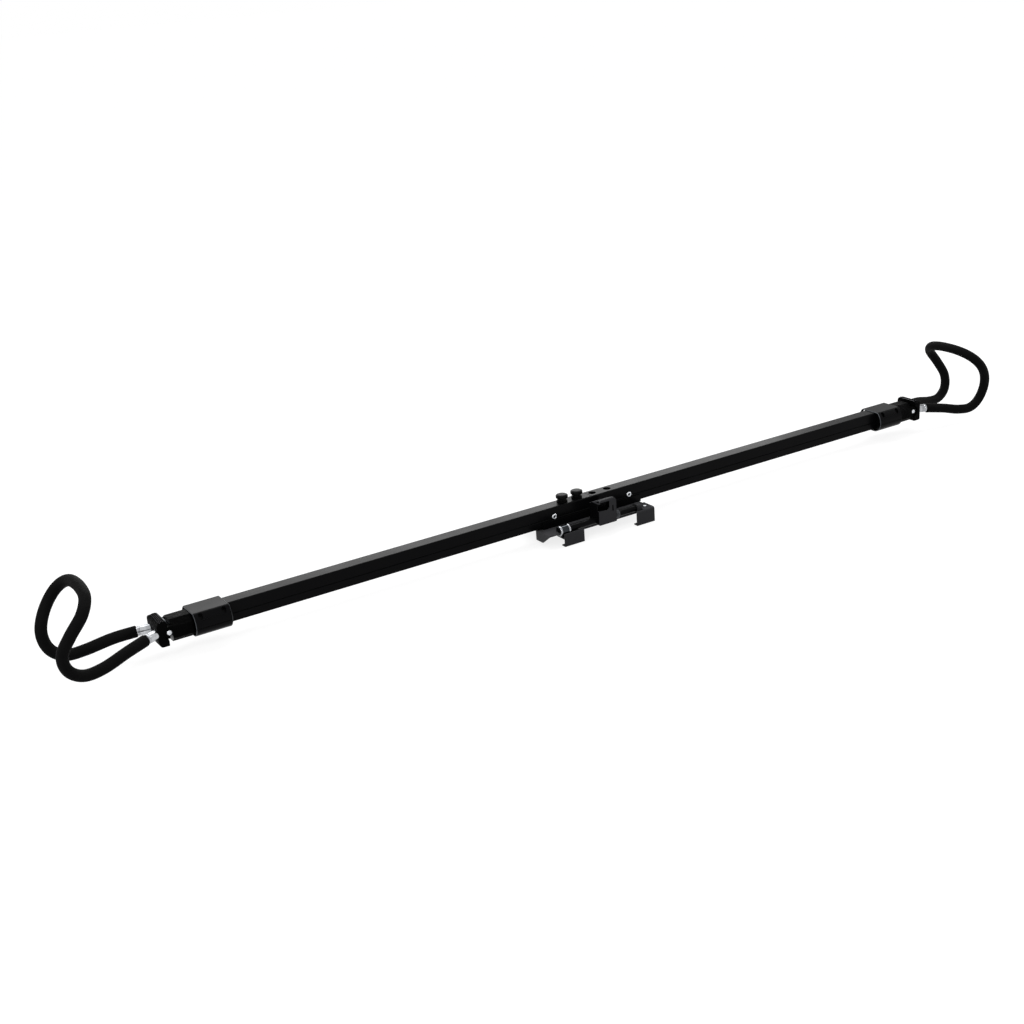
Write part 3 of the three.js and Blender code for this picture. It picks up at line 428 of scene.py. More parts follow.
def merge_flats(piece: bpy.types.Object) -> bpy.types.Object:
    """Merges the triangles of each flat into one face, so that only true edges are rounded.

    Args:
        piece: a mesh of triangles.

    Returns:
        The piece.
    """
    shell = bmesh.new()
    shell.from_mesh(piece.data)
    bmesh.ops.remove_doubles(shell, verts=shell.verts, dist=MERGE)
    bmesh.ops.dissolve_limit(
        shell, angle_limit=FLAT_WITHIN, use_dissolve_boundaries=False, verts=shell.verts, edges=shell.edges
    )
    shell.to_mesh(piece.data)
    shell.free()
    smooth(piece)
    return piece


# ---- Finishes -----------------------------------------------------------------------------------


def linear(colour: str) -> tuple[float, float, float, float]:
    """Turns an sRGB hex colour into the linear colour a shader takes.

    Args:
        colour: six hex digits, such as "1c1c1e".

    Returns:
        Red, green, blue and an alpha of one.
    """
    encoded = np.array([int(colour[i : i + 2], 16) for i in (0, 2, 4)]) / 255
    light = np.where(encoded <= 0.04045, encoded / 12.92, ((encoded + 0.055) / 1.055) ** 2.4)
    return (*light.tolist(), 1.0)


def add_node(
    tree: bpy.types.NodeTree, kind: str, settings: dict | None = None, inputs: dict | None = None
) -> bpy.types.Node:
    """Adds a node, with its settings, its values and what feeds it.

    Args:
        tree: the material's node tree.
        kind: the node's type.
        settings: properties by name.
        inputs: for each input, a value or the output socket that feeds it.

    Returns:
        The node.
    """
    node = tree.nodes.new(kind)
    for name, value in (settings or {}).items():
        setattr(node, name, value)
    for key, value in (inputs or {}).items():
        if isinstance(value, bpy.types.NodeSocket):
            tree.links.new(value, node.inputs[key])
        else:
            node.inputs[key].default_value = value
    return node


def per_metre(size: float) -> float:
    """The scale at which a pattern on metre coordinates repeats every so many millimetres."""
    return 1.0 / (size * MM)


class Texture(Enum):
    """How the surface of a finish was made."""

    SPRAYED = "orange peel of a sprayed powder coat"
    CAST = "grain of cast iron under paint"
    DRAWN = "fine lines of drawn steel"
    TURNED = "bands left round a piece by the lathe"
    FOAMED = "open skin of a foam grip"
    MOULDED = "fine matt of a spark-eroded mould"


@dataclass(frozen=True)
class Finish:
    """A real surface: what it is called, its colours, how it shines and what its surface shows.

    Patches are the slow changes of colour and gloss across the piece, grain is the small relief. Both
    are sizes in millimetres. Grain under about 2 mm would not show at this size, so it is drawn coarser
    than the real one.
    """

    name: str
    texture: Texture
    colour: str
    patch_colour: str
    roughness: tuple[float, float]
    patch: float
    grain: float
    relief: float
    metallic: float = 0.0
    specular: float = 0.5

    def height(self, tree: bpy.types.NodeTree, place: bpy.types.NodeSocket) -> bpy.types.NodeSocket:
        """The relief pattern of this finish.

        Args:
            tree: the node tree.
            place: the object's own coordinates.

        Returns:
            The socket that gives the height, from nought to one.
        """
        scale = per_metre(self.grain)
        if self.texture is Texture.FOAMED:
            cells = add_node(
                tree, "ShaderNodeTexVoronoi", {"feature": "SMOOTH_F1"},
                {"Vector": place, "Scale": scale, "Smoothness": 0.6},
            )
            skin = add_node(
                tree, "ShaderNodeTexNoise", None, {"Vector": place, "Scale": scale * 0.4, "Detail": 4.0}
            )
            both = add_node(
                tree, "ShaderNodeMath", {"operation": "MULTIPLY_ADD"},
                {0: skin.outputs["Fac"], 1: 0.8, 2: cells.outputs["Distance"]},
            )
            return both.outputs[0]
        if self.texture is Texture.CAST:
            grit = add_node(
                tree, "ShaderNodeTexVoronoi", {"feature": "F1"},
                {"Vector": place, "Scale": scale, "Randomness": 0.85},
            )
            lumps = add_node(
                tree, "ShaderNodeTexNoise", None, {"Vector": place, "Scale": scale, "Detail": 5.0}
            )
            both = add_node(
                tree, "ShaderNodeMath", {"operation": "MULTIPLY_ADD"},
                {0: lumps.outputs["Fac"], 1: 0.7, 2: grit.outputs["Distance"]},
            )
            return both.outputs[0]
        if self.texture in (Texture.DRAWN, Texture.TURNED):
            stretched = add_node(
                tree, "ShaderNodeMapping", None, {"Vector": place, "Scale": (0.06, 1.0, 1.0)}
            )
            lines = add_node(
                tree, "ShaderNodeTexNoise", None,
                {"Vector": stretched.outputs[0], "Scale": scale, "Detail": 3.0},
            )
            return lines.outputs["Fac"]
        detail = 2.0 if self.texture is Texture.SPRAYED else 6.0
        peel = add_node(tree, "ShaderNodeTexNoise", None, {"Vector": place, "Scale": scale, "Detail": detail})
        return peel.outputs["Fac"]

    def material(self) -> bpy.types.Material:
        """Builds the node material once, and hands back the same one after that.

        Returns:
            The material.
        """
        known = bpy.data.materials.get(self.name)
        if known:
            return known
        made = bpy.data.materials.new(self.name)
        made.use_nodes = True
        tree = made.node_tree
        tree.nodes.clear()
        place = add_node(tree, "ShaderNodeTexCoord").outputs["Object"]
        # For the turned finish the patches are stretched into bands; on the nickel the darker bands are
        # painted reflections.
        stretch = (1.0, 0.15, 0.15) if self.texture is Texture.TURNED else (1.0, 1.0, 1.0)
        spread = add_node(tree, "ShaderNodeMapping", None, {"Vector": place, "Scale": stretch})
        patches = add_node(
            tree, "ShaderNodeTexNoise", None,
            {"Vector": spread.outputs[0], "Scale": per_metre(self.patch), "Detail": 4.0, "Roughness": 0.6},
        ).outputs["Fac"]
        colour = add_node(
            tree, "ShaderNodeMix", {"data_type": "RGBA"},
            {"Factor": patches, "A": linear(self.colour), "B": linear(self.patch_colour)},
        )
        low, high = self.roughness
        rough = add_node(
            tree, "ShaderNodeMapRange", None,
            {"Value": patches, "From Min": 0.3, "From Max": 0.7, "To Min": low, "To Max": high},
        )
        bump = add_node(
            tree, "ShaderNodeBump", None,
            {"Height": self.height(tree, place), "Distance": self.relief * MM, "Strength": 1.0},
        )
        shader = add_node(
            tree, "ShaderNodeBsdfPrincipled", None,
            {
                "Base Color": colour.outputs["Result"],
                "Roughness": rough.outputs["Result"],
                "Normal": bump.outputs["Normal"],
                "Metallic": self.metallic,
                "Specular IOR Level": self.specular,
            },
        )
        add_node(tree, "ShaderNodeOutputMaterial", None, {"Surface": shader.outputs[0]})
        return made


# Satin black powder coat on steel tube: even, nearly black face on, and a clear grey sheen at a slant.
BAR_COAT = Finish(
    "satin_powder_coat", Texture.SPRAYED, "050506", "09090a", (0.24, 0.32), 90, 3.5, 0.02, specular=0.035
)
# The same coat on pressed sheet, a little rougher and greyer from tumbling before it was coated.
SHEET_COAT = Finish(
    "coated_pressed_sheet", Texture.SPRAYED, "2a2a2c", "333335", (0.36, 0.46), 40, 3.0, 0.04, specular=0.03
)
# Painted light: a lighter grey coat standing in for the overhead light on the rack plate's top, also used as
# the painted highlight on the knurl's tips.
PAINTED_LIGHT_COAT = Finish(
    "rubbed_plate_coat", Texture.SPRAYED, "38383a", "424244", (0.36, 0.46), 30, 3.0, 0.04, specular=0.03
)
# Painted shade: the knurled tread, near-black and with no shine, standing in for the shade in its grooves.
GROOVE_SHADE = Finish(
    "phosphated_steel", Texture.CAST, "010101", "030303", (0.6, 0.8), 12, 3.0, 0.3, specular=0.0
)
# Painted highlights: a bright metal finish put on rims, edges and end faces where light catches them.
PAINTED_HIGHLIGHT_RIM = Finish(
    "worn_steel_rim", Texture.DRAWN, "4c4e51", "3c3e41", (0.3, 0.42), 8, 1.5, 0.02, metallic=1.0
)
# Painted die-cast collar: thicker paint with soft waves in it.
COLLAR_COAT = Finish(
    "painted_die_casting", Texture.SPRAYED, "050506", "0a0a0b", (0.26, 0.36), 60, 6.0, 0.04, specular=0.04
)
# Painted sand-cast iron: coarse grain that glitters where the light grazes it.
CAST_COAT = Finish(
    "painted_cast_iron", Texture.CAST, "020202", "060606", (0.34, 0.5), 12, 4.2, 0.8, specular=0.012
)
# Black oxide on small screws, bushes and the inner sleeve: thin, dark and matt.
BLACK_OXIDE = Finish(
    "black_oxide_steel", Texture.DRAWN, "030303", "070707", (0.4, 0.55), 15, 1.5, 0.02, specular=0.03
)
# Bright zinc plate over drawn steel: pale grey metal with faint lines.
ZINC_PLATE = Finish(
    "zinc_plated_steel", Texture.DRAWN, "e0e2e4", "c8cbcf", (0.22, 0.34), 14, 2.0, 0.03, metallic=1.0
)
# Nickelled ferrules: the pale base is the nickel's own, and the darker bands of the patch colour are painted
# reflections of the black parts round them.
NICKEL_AND_REFLECTIONS = Finish(
    "turned_nickel", Texture.TURNED, "dcdee1", "5e6064", (0.12, 0.22), 9, 2.5, 0.02, metallic=1.0
)
# The bearing cup: dark burnished steel that shows only the lamps.
BURNISHED = Finish(
    "burnished_steel", Texture.DRAWN, "26282b", "34373a", (0.1, 0.18), 12, 2.5, 0.01, metallic=1.0
)
# Drawn spring wire, oiled.
SPRING_WIRE = Finish(
    "oiled_spring_wire", Texture.DRAWN, "56585b", "424447", (0.3, 0.42), 10, 1.0, 0.02, metallic=1.0
)
# Moulded glass-filled nylon knobs: matt, with a soft broad sheen.
NYLON = Finish(
    "moulded_nylon", Texture.MOULDED, "040404", "080808", (0.3, 0.4), 12, 1.6, 0.04, specular=0.045
)
# Nitrile foam sleeve: dull black skin full of fine pores.
FOAM = Finish(
    "nitrile_foam", Texture.FOAMED, "080808", "131313", (0.55, 0.7), 45, 3.4, 0.6, specular=0.018
)


def dress(piece: bpy.types.Object, finish: Finish, body: str, slot: str, *nodes: str) -> bpy.types.Object:
    """Gives a piece its finish, sets it on its body and hides the CAD nodes it stands for.

    Args:
        piece: the piece.
        finish: its surface.
        body: the CAD body that it moves with.
        slot: a material slot's name; not used.
        *nodes: the CAD nodes it replaces.

    Returns:
        The piece.
    """
    piece.data.materials.clear()
    piece.data.materials.append(finish.material())
    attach(piece, body)
    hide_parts(*nodes)
    LOG.info("%s: %s on %s", piece.name, finish.name, body)
    return piece


def inlay(
    piece: bpy.types.Object, finish: Finish, chosen: Callable[[np.ndarray, np.ndarray], np.ndarray]
) -> None:
    """Gives some of a dressed piece's faces a second finish.

    Args:
        piece: the piece.
        finish: the second finish.
        chosen: takes the middles of the faces in millimetres and their normals, one a row, and says
            which faces get it.
    """
    faces = piece.data.polygons
    middles, normals = np.empty(len(faces) * 3), np.empty(len(faces) * 3)
    faces.foreach_get("center", middles)
    faces.foreach_get("normal", normals)
    places = middles.reshape(-1, 3) / MM - (0, 0, BAR_CENTRE)
    piece.data.materials.append(finish.material())
    faces.foreach_set("material_index", chosen(places, normals.reshape(-1, 3)).astype(np.int32))
    piece.data.update()


def finish_copy(node: str, finish: Finish, body: str, slot: str, edge: float) -> bpy.types.Object:
    """Copies a CAD node, rounds its edges and puts the copy in its place.

    Args:
        node: the CAD node.
        finish: its surface.
        body: the body it moves with.
        slot: a material slot's name, passed on to dress.
        edge: the rounding's width in millimetres.

    Returns:
        The finished copy.
    """
    return dress(soften(cad_copy(node), edge), finish, body, slot, node)


# ---- Studio and camera --------------------------------------------------------------------------


@dataclass
class Viewpoint:
    """The camera, placed by its distance and angles from the middle of the bar."""

    place: tuple[float, float, float] = (-1662.3, -2451.4, 1115.6)
    yaw: float = -31.04
    pitch: float = 20.80
    roll: float = -4.14
    lens: float = 52.79
    sensor: float = 36.0

    def build(self) -> None:
        """Makes the camera and sets it as the scene's own."""
        yaw, pitch, roll = (math.radians(a) for a in (self.yaw, self.pitch, self.roll))
        ahead = Vector((-math.sin(yaw) * math.cos(pitch), math.cos(yaw) * math.cos(pitch), -math.sin(pitch)))
        level = Vector((math.cos(yaw), math.sin(yaw), 0))
        top = level.cross(ahead)
        right = math.cos(roll) * level + math.sin(roll) * top
        up = -math.sin(roll) * level + math.cos(roll) * top
        data = bpy.data.cameras.new("studio_camera")
        data.lens, data.sensor_width = self.lens, self.sensor
        data.clip_end = 100
        data.dof.use_dof = False
        camera = bpy.data.objects.new("studio_camera", data)
        turn = Matrix((right, up, -ahead)).transposed().to_4x4()
        place = Vector(self.place) + Vector((0, 0, BAR_CENTRE))
        camera.matrix_world = Matrix.Translation(place * MM) @ turn
        bpy.context.scene.collection.objects.link(camera)
        bpy.context.scene.camera = camera
        LOG.info("camera placed")


@dataclass
class Studio:
    """A pale floor, a white surround and soft lamps at a plain level."""

    floor_half: float = 30.0
    floor_colour: str = "8a8a8a"
    floor_glow: float = 0.8
    surround: float = 0.8

    def seen_white(self, tree: bpy.types.NodeTree) -> bpy.types.NodeSocket:
        """One where a ray comes from the camera, a reflection or glass, and nought elsewhere.

        Args:
            tree: the node tree.

        Returns:
            The socket that gives it.
        """
        path = add_node(tree, "ShaderNodeLightPath")
        either = add_node(
            tree, "ShaderNodeMath", {"operation": "MAXIMUM"},
            {0: path.outputs["Is Camera Ray"], 1: path.outputs["Is Glossy Ray"]},
        )
        return add_node(
            tree, "ShaderNodeMath", {"operation": "MAXIMUM"},
            {0: either.outputs[0], 1: path.outputs["Is Transmission Ray"]},
        ).outputs[0]

    def build(self) -> None:
        """Makes the floor, the world and the lamps."""
        self.floor()
        self.world()
        self.lamp("overhead_softbox", (0.0, 0.9, 2.6), (3.4, 1.4), 30)
        self.lamp("rear_softbox", (1.3, 3.6, 1.7), (4.2, 1.5), 62)
        self.lamp("hair_strip", (1.7, 0.9, 2.7), (1.2, 0.14), 10)
        self.lamp("left_strip", (-2.9, -1.4, 1.7), (0.3, 1.4), 28)
        self.lamp("right_strip", (3.2, -0.4, 1.2), (0.3, 1.4), 22)
        bpy.context.scene.view_settings.view_transform = "Standard"
        LOG.info("studio lit")

    def floor(self) -> None:
        """A wide flat floor that keeps the shadow and otherwise looks white."""
        half = self.floor_half
        mesh = bpy.data.meshes.new("studio_floor")
        corners = [(-half, -half, 0), (half, -half, 0), (half, half, 0), (-half, half, 0)]
        mesh.from_pydata(corners, [], [(0, 1, 2, 3)])
        floor = bpy.data.objects.new("studio_floor", mesh)
        bpy.context.scene.collection.objects.link(floor)
        made = bpy.data.materials.new("pale_floor")
        made.use_nodes = True
        tree = made.node_tree
        tree.nodes.clear()
        diffuse = add_node(tree, "ShaderNodeBsdfDiffuse", None, {"Color": linear(self.floor_colour)})
        glow = add_node(
            tree, "ShaderNodeMath", {"operation": "MULTIPLY"}, {0: self.seen_white(tree), 1: self.floor_glow}
        )
        light = add_node(
            tree, "ShaderNodeEmission", None, {"Color": (1, 1, 1, 1), "Strength": glow.outputs[0]}
        )
        both = add_node(tree, "ShaderNodeAddShader", None, {0: diffuse.outputs[0], 1: light.outputs[0]})
        add_node(tree, "ShaderNodeOutputMaterial", None, {"Surface": both.outputs[0]})
        mesh.materials.append(made)

    def world(self) -> None:
        """A surround that looks white and lights the object at a plain level."""
        world = bpy.data.worlds.new("studio_surround")
        bpy.context.scene.world = world
        world.use_nodes = True
        tree = world.node_tree
        tree.nodes.clear()
        strength = add_node(
            tree, "ShaderNodeMapRange", None,
            {"Value": self.seen_white(tree), "To Min": self.surround, "To Max": 1.0},
        )
        sky = add_node(
            tree, "ShaderNodeBackground", None,
            {"Color": (1, 1, 1, 1), "Strength": strength.outputs["Result"]},
        )
        add_node(tree, "ShaderNodeOutputWorld", None, {"Surface": sky.outputs[0]})

    def lamp(
        self, name: str, place: tuple[float, float, float], size: tuple[float, float], power: float
    ) -> None:
        """Makes a softbox that faces the middle of the bar.

        Args:
            name: the lamp's name.
            place: where it hangs, in metres.
            size: its width and height, in metres.
            power: its power in watts.
        """
        data = bpy.data.lights.new(name, "AREA")
        data.shape, data.size, data.size_y, data.energy = "RECTANGLE", *size, power
        lamp = bpy.data.objects.new(name, data)
        facing = (-Vector(place)).to_track_quat("-Z", "Y").to_matrix().to_4x4()
        lamp.matrix_world = Matrix.Translation(place) @ facing
        lamp.visible_camera = False
        bpy.context.scene.collection.objects.link(lamp)


# ---- The bar ------------------------------------------------------------------------------------


@dataclass
class MainBar:
    """Two halves of grooved rectangular tube, the sleeve inside them and the joint rivets."""

    half_width: float = 16.35
    half_height: float = 20.0
    wall: float = 2.5
    corner: float = 3.0
    end: float = 886.0
    joint: float = 0.3  # half of the gap between the two halves
    lip: float = 0.5  # width of the chamfer at each open end
    groove: tuple[float, float, float] = (-3.5, 1.4, 1.3)  # height, half width, depth
    pins: tuple[float, ...] = (-64.0, -27.0)
    spares: tuple[float, ...] = (12.5, 50.5)
    spare_radius: float = 8.3
    bush_radius: float = 7.7
    pin_radius: float = 4.35
    rivet: tuple[float, float] = (95.5, -0.6)  # distance from the middle, height
    rivet_hole: float = 3.3
    rivet_eye: float = 2.5

    def outline(self, inset: float = 0.0) -> np.ndarray:
        """The tube's section in (Y, Z), with a V groove along each side.

        Args:
            inset: how far the whole section is drawn in.

        Returns:
            The outline, anticlockwise from the middle of the right side.
        """
        width, height = self.half_width - inset, self.half_height - inset
        section = rounded_rectangle(width, height, max(self.corner - inset, 0.6))
        level, half, depth = self.groove
        notch = np.array([(0, level - half), (-depth, level), (0, level + half)])
        right = notch + (width, 0)
        left = (notch * (-1, 1) - (width, 0))[::-1]
        upper = section[section[:, 1] > 0]
        lower = section[section[:, 1] <= 0]
        return np.concatenate([right, upper, left, lower])

    def half(self, side: Side) -> bpy.types.Object:
        """One half of the bar, open at both ends, with small lips and its holes.

        Args:
            side: which half.

        Returns:
            The half.
        """
        near, far = self.joint, self.end
        stations = [
            (near, self.lip), (near + self.lip, 0.0), (far - self.lip, 0.0), (far, self.lip),
            (far, self.wall), (near, self.wall),
        ]
        rings = [np.insert(self.outline(inset), 0, side.value * x, axis=1) for x, inset in stations]
        piece = net(side.label + "_bar_tube_finished", np.stack(rings), ring_loop=True)
        cutters = []
        for x in self.pins if side is Side.LEFT else self.spares:
            top = self.bush_radius if side is Side.LEFT else self.spare_radius
            cutters.append(drill((x, 0, 0), (x, 0, self.half_height + PAST), top, 48))
            cutters.append(drill((x, 0, -self.half_height - PAST), (x, 0, 0), self.pin_radius))
        place, level = self.rivet
        x, reach = side.value * place, self.half_width + PAST
        cutters.append(drill((x, -reach, level), (x, reach, level), self.rivet_hole))
        return weigh(carve(piece, *cutters))

    def rivet_piece(self, side: Side) -> bpy.types.Object:
        """A tubular rivet with a rolled rim and a sunk eye at each end.

        Args:
            side: which half of the bar it holds.

        Returns:
            The rivet.
        """
        place, level = self.rivet
        face = self.half_width + 0.3
        half = np.array([
            (0.001, face - 4.0), (2.2, face - 4.0), (2.6, face + 0.6), (3.4, face + 1.3), (5.2, face + 1.1),
            (6, face + 0.3), (6, face), (3, face),
        ])
        whole = np.concatenate([half, half[::-1] * (1, -1)])
        profile = fillet(whole, 0.5, closed=False, steps=4)
        name = side.label + "_joint_rivet_finished"
        return turned(name, profile, (side.value * place, 0, level), (0, 1, 0), 40)

    def eye(self, at: np.ndarray, normals: np.ndarray) -> np.ndarray:
        """Which faces of a rivet lie down its eye, which gets painted shade."""
        return np.hypot(np.abs(at[:, 0]) - self.rivet[0], at[:, 2] - self.rivet[1]) < self.rivet_eye

    def build(self) -> None:
        """Makes and dresses the bar."""
        for side in Side:
            dress(self.half(side), BAR_COAT, "bar", "bar_paint", side.label + "_bar_tube")
            rivet = dress(self.rivet_piece(side), ZINC_PLATE, "bar", "zinc", side.label + "_joint_rivet")
            # Painted shade: the rivet's sunk eye gets black oxide.
            inlay(rivet, BLACK_OXIDE, self.eye)
        finish_copy("joining_sleeve", BLACK_OXIDE, "bar", "black_steel", 0.4)


# ---- Pull pins ----------------------------------------------------------------------------------


@dataclass
class PullPin:
    """One spring pin with its flanged bush and mushroom knob."""

    number: int
    x: float
    seat: float = 20.3  # top of the bar and the clearance over it
    radius: float = 4.0
    bore: float = 4.35
    bush_radius: float = 7.4
    flange: tuple[float, float] = (11.5, 3.0)  # radius and thickness
    roof: float = 18.0  # where the spring's chamber ends
    chamber_radius: float = 5.7
    knob_bottom: float = 23.6
    sides: int = 56
    spring_span: tuple[float, float] = (6.3, 17.7)  # over the pin's shoulder, under the chamber's roof
    wire: float = 0.45
    turns: int = 4
    lift: float = 7.0

    def turn(self, node: str, outline: Sequence, rounding: float, steps: int) -> bpy.types.Object:
        """Turns an outline about the pin's axis, with its corners rounded.

        Args:
            node: the CAD node it stands for, without its number.
            outline: points of (radius, height), open at the axis.
            rounding: how far along each side the rounding starts.
            steps: points on each rounded corner.

        Returns:
            The piece.
        """
        profile = fillet(outline, rounding, closed=False, steps=steps)
        return turned(f"{node}_{self.number}_finished", profile, (self.x, 0, 0), sides=self.sides)

    def bush(self) -> bpy.types.Object:
        """The flanged bush, turned from bar, with a chamber for the spring.

        Returns:
            The bush.
        """
        brim, thickness = self.flange
        outer, inner, top = self.bush_radius, self.chamber_radius, self.seat + thickness
        outline = [
            (inner, 1), (outer, 1), (outer, self.seat), (brim, self.seat), (brim, top), (self.bore, top),
            (self.bore, self.roof), (inner, self.roof),
        ]
        name = f"pin_bush_{self.number}_finished"
        return turned(name, fillet(outline, 0.6, steps=4), (self.x, 0, 0), sides=self.sides, bored=True)

    def pin(self) -> bpy.types.Object:
        """The pin, with a chamfered tip and the shoulder that the spring presses on.

        Returns:
            The pin.
        """
        tip, stem, rod = -24.1, 29.6, self.radius
        outline = [(0, tip), (rod, tip), (rod, 4), (5.1, 4), (5.1, 6), (rod, 6), (rod, stem), (0, stem)]
        return self.turn("lock_pin", outline, 0.8, 4)

    def knob(self) -> bpy.types.Object:
        """The knob: a skirt, a waist for the fingers and a domed cap with a rounded brim.

        Returns:
            The knob.
        """
        bottom = self.knob_bottom
        outline = [
            (0, bottom + 6.3), (4.3, bottom + 6.3), (4.3, bottom), (10.2, bottom), (10.2, bottom + 1.6),
            (8.6, bottom + 2.4), (8.6, bottom + 4.6), (12.8, bottom + 5.2), (12.8, bottom + 11.2),
            (9.6, bottom + 12.9), (0, bottom + 13.4),
        ]
        return self.turn("pin_knob", outline, 1.5, 7)

    def spring(self) -> bpy.types.Object:
        """The spring: a helix round the pin.

        The helix point at turn t is (x + r cos 2 pi t, r sin 2 pi t, bottom + (top - bottom) t / turns),
        with both ends drawn in by the wire's radius.

        Returns:
            The spring.
        """
        bottom, top = self.spring_span
        t = np.linspace(0, self.turns, self.turns * 32 + 1)
        radius = (self.radius + self.chamber_radius) / 2
        path = np.stack([
            self.x + radius * np.cos(2 * math.pi * t),
            radius * np.sin(2 * math.pi * t),
            bottom + self.wire + (top - bottom - 2 * self.wire) * t / self.turns,
        ], 1)
        name, inside = f"pin_spring_{self.number}_finished", (self.x, 0, 12)
        return tube(name, path, np.full(len(path), self.wire), inside, 10)

    def build(self) -> None:
        """Makes and dresses this pin's pieces."""
        body, number = f"pin_{self.number}", self.number
        dress(weigh(self.bush()), BLACK_OXIDE, "bar", "black_steel", f"pin_bush_{number}")
        dress(weigh(self.pin()), ZINC_PLATE, body, "zinc", f"lock_pin_{number}")
        dress(weigh(self.knob()), NYLON, body, "black_plastic", f"pin_knob_{number}")
        spring = dress(self.spring(), SPRING_WIRE, "bar", "spring_steel", f"pin_spring_{number}")
        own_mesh(spring)


# ---- Rack bracket -------------------------------------------------------------------------------


@dataclass
class RackBracket:
    """The pressed saddle, plate and clips under the bar, and their screws."""

    sheet_edge: float = 0.5
    flange: tuple[float, float, float, float] = (-39.8, -37.8, -37.3, -27.9)  # front, back, bottom, top
    flange_span: tuple[float, float] = (-54.5, 75.5)
    under_clip: tuple[float, float] = (96.0, -28.2)  # the flange's end and top under the right clip
    screws: tuple[tuple[str, float, float], ...] = (
        ("front_right", 109.0, -53.0), ("back_left", -79.5, 53.0), ("back_right", 109.0, 53.0),
    )
    web_top: float = -19.8
    side_screw: tuple[float, float, float] = (-70.0, -39.8, -29.2)
    shank: float = 8.0
    side_shank: float = 7.5

    def plate(self) -> bpy.types.Object:
        """The CAD rack plate with a slightly deeper front flange, which also runs under the right clip.

        Returns:
            The plate.
        """
        front, back, bottom, top = self.flange
        start, end = self.flange_span
        far, roof = self.under_clip
        outline = np.array([
            (start, bottom), (far, bottom), (far, roof), (end, roof), (end, top), (start, top),
        ])
        flange = prism("flange", outline, Axis.Y, front, back)
        return merge_flats(carve(cad_copy("rack_plate"), flange, way=Cut.JOIN))

    def screw(
        self,
        name: str,
        seat: tuple[float, float, float],
        direction: tuple[float, float, float],
        length: float,
    ) -> None:
        """Makes a pan-head screw with a driver slot, and dresses it.

        Args:
            name: the clip it holds.
            seat: the middle of the face under its head.
            direction: which way the head points.
            length: the shank's length.
        """
        outline = [
            (0, -length), (1.7, -length), (2, -length + 0.5), (2, 0.3), (4, 0.3), (4, 1.3), (3, 2), (0, 2.1),
        ]
        profile = fillet(outline, 0.5, closed=False, steps=4)
        piece = turned(name + "_clip_screw_finished", profile, seat, direction, 32)
        axis = np.asarray(direction, float)
        across = np.cross(axis, (1.0, 0.0, 0.0))
        low, high = np.asarray(seat) + axis * 1.2, np.asarray(seat) + axis * 3
        half_length, half_width = 4.5, 0.45
        corners = np.array([(-1, -1), (1, -1), (1, 1), (-1, 1)]) * (half_length, half_width)
        lengthways, sideways = corners[:, :1] * (1.0, 0.0, 0.0), corners[:, 1:] * across
        driver = net("slot", np.stack([low + lengthways + sideways, high + lengthways + sideways]))
        dress(weigh(carve(piece, driver)), ZINC_PLATE, "bar", "zinc", name + "_clip_screw")

    def build(self) -> None:
        """Makes and dresses the bracket."""
        finish_copy("saddle_channel", BAR_COAT, "bar", "black_steel", self.sheet_edge)
        # Painted light: the rack plate gets the lighter grey coat for the overhead light on its top.
        dress(soften(self.plate(), self.sheet_edge), PAINTED_LIGHT_COAT, "bar", "black_steel", "rack_plate")
        for node in ("front_right_clip", "back_left_clip", "back_right_clip", "front_left_clip"):
            finish_copy(node, SHEET_COAT, "bar", "black_steel", self.sheet_edge)
        for name, x, y in self.screws:
            self.screw(name, (x, y, self.web_top), (0, 0, 1), self.shank)
        self.screw("front_left", self.side_screw, (0, -1, 0), self.side_shank)


# ---- Release lever ------------------------------------------------------------------------------


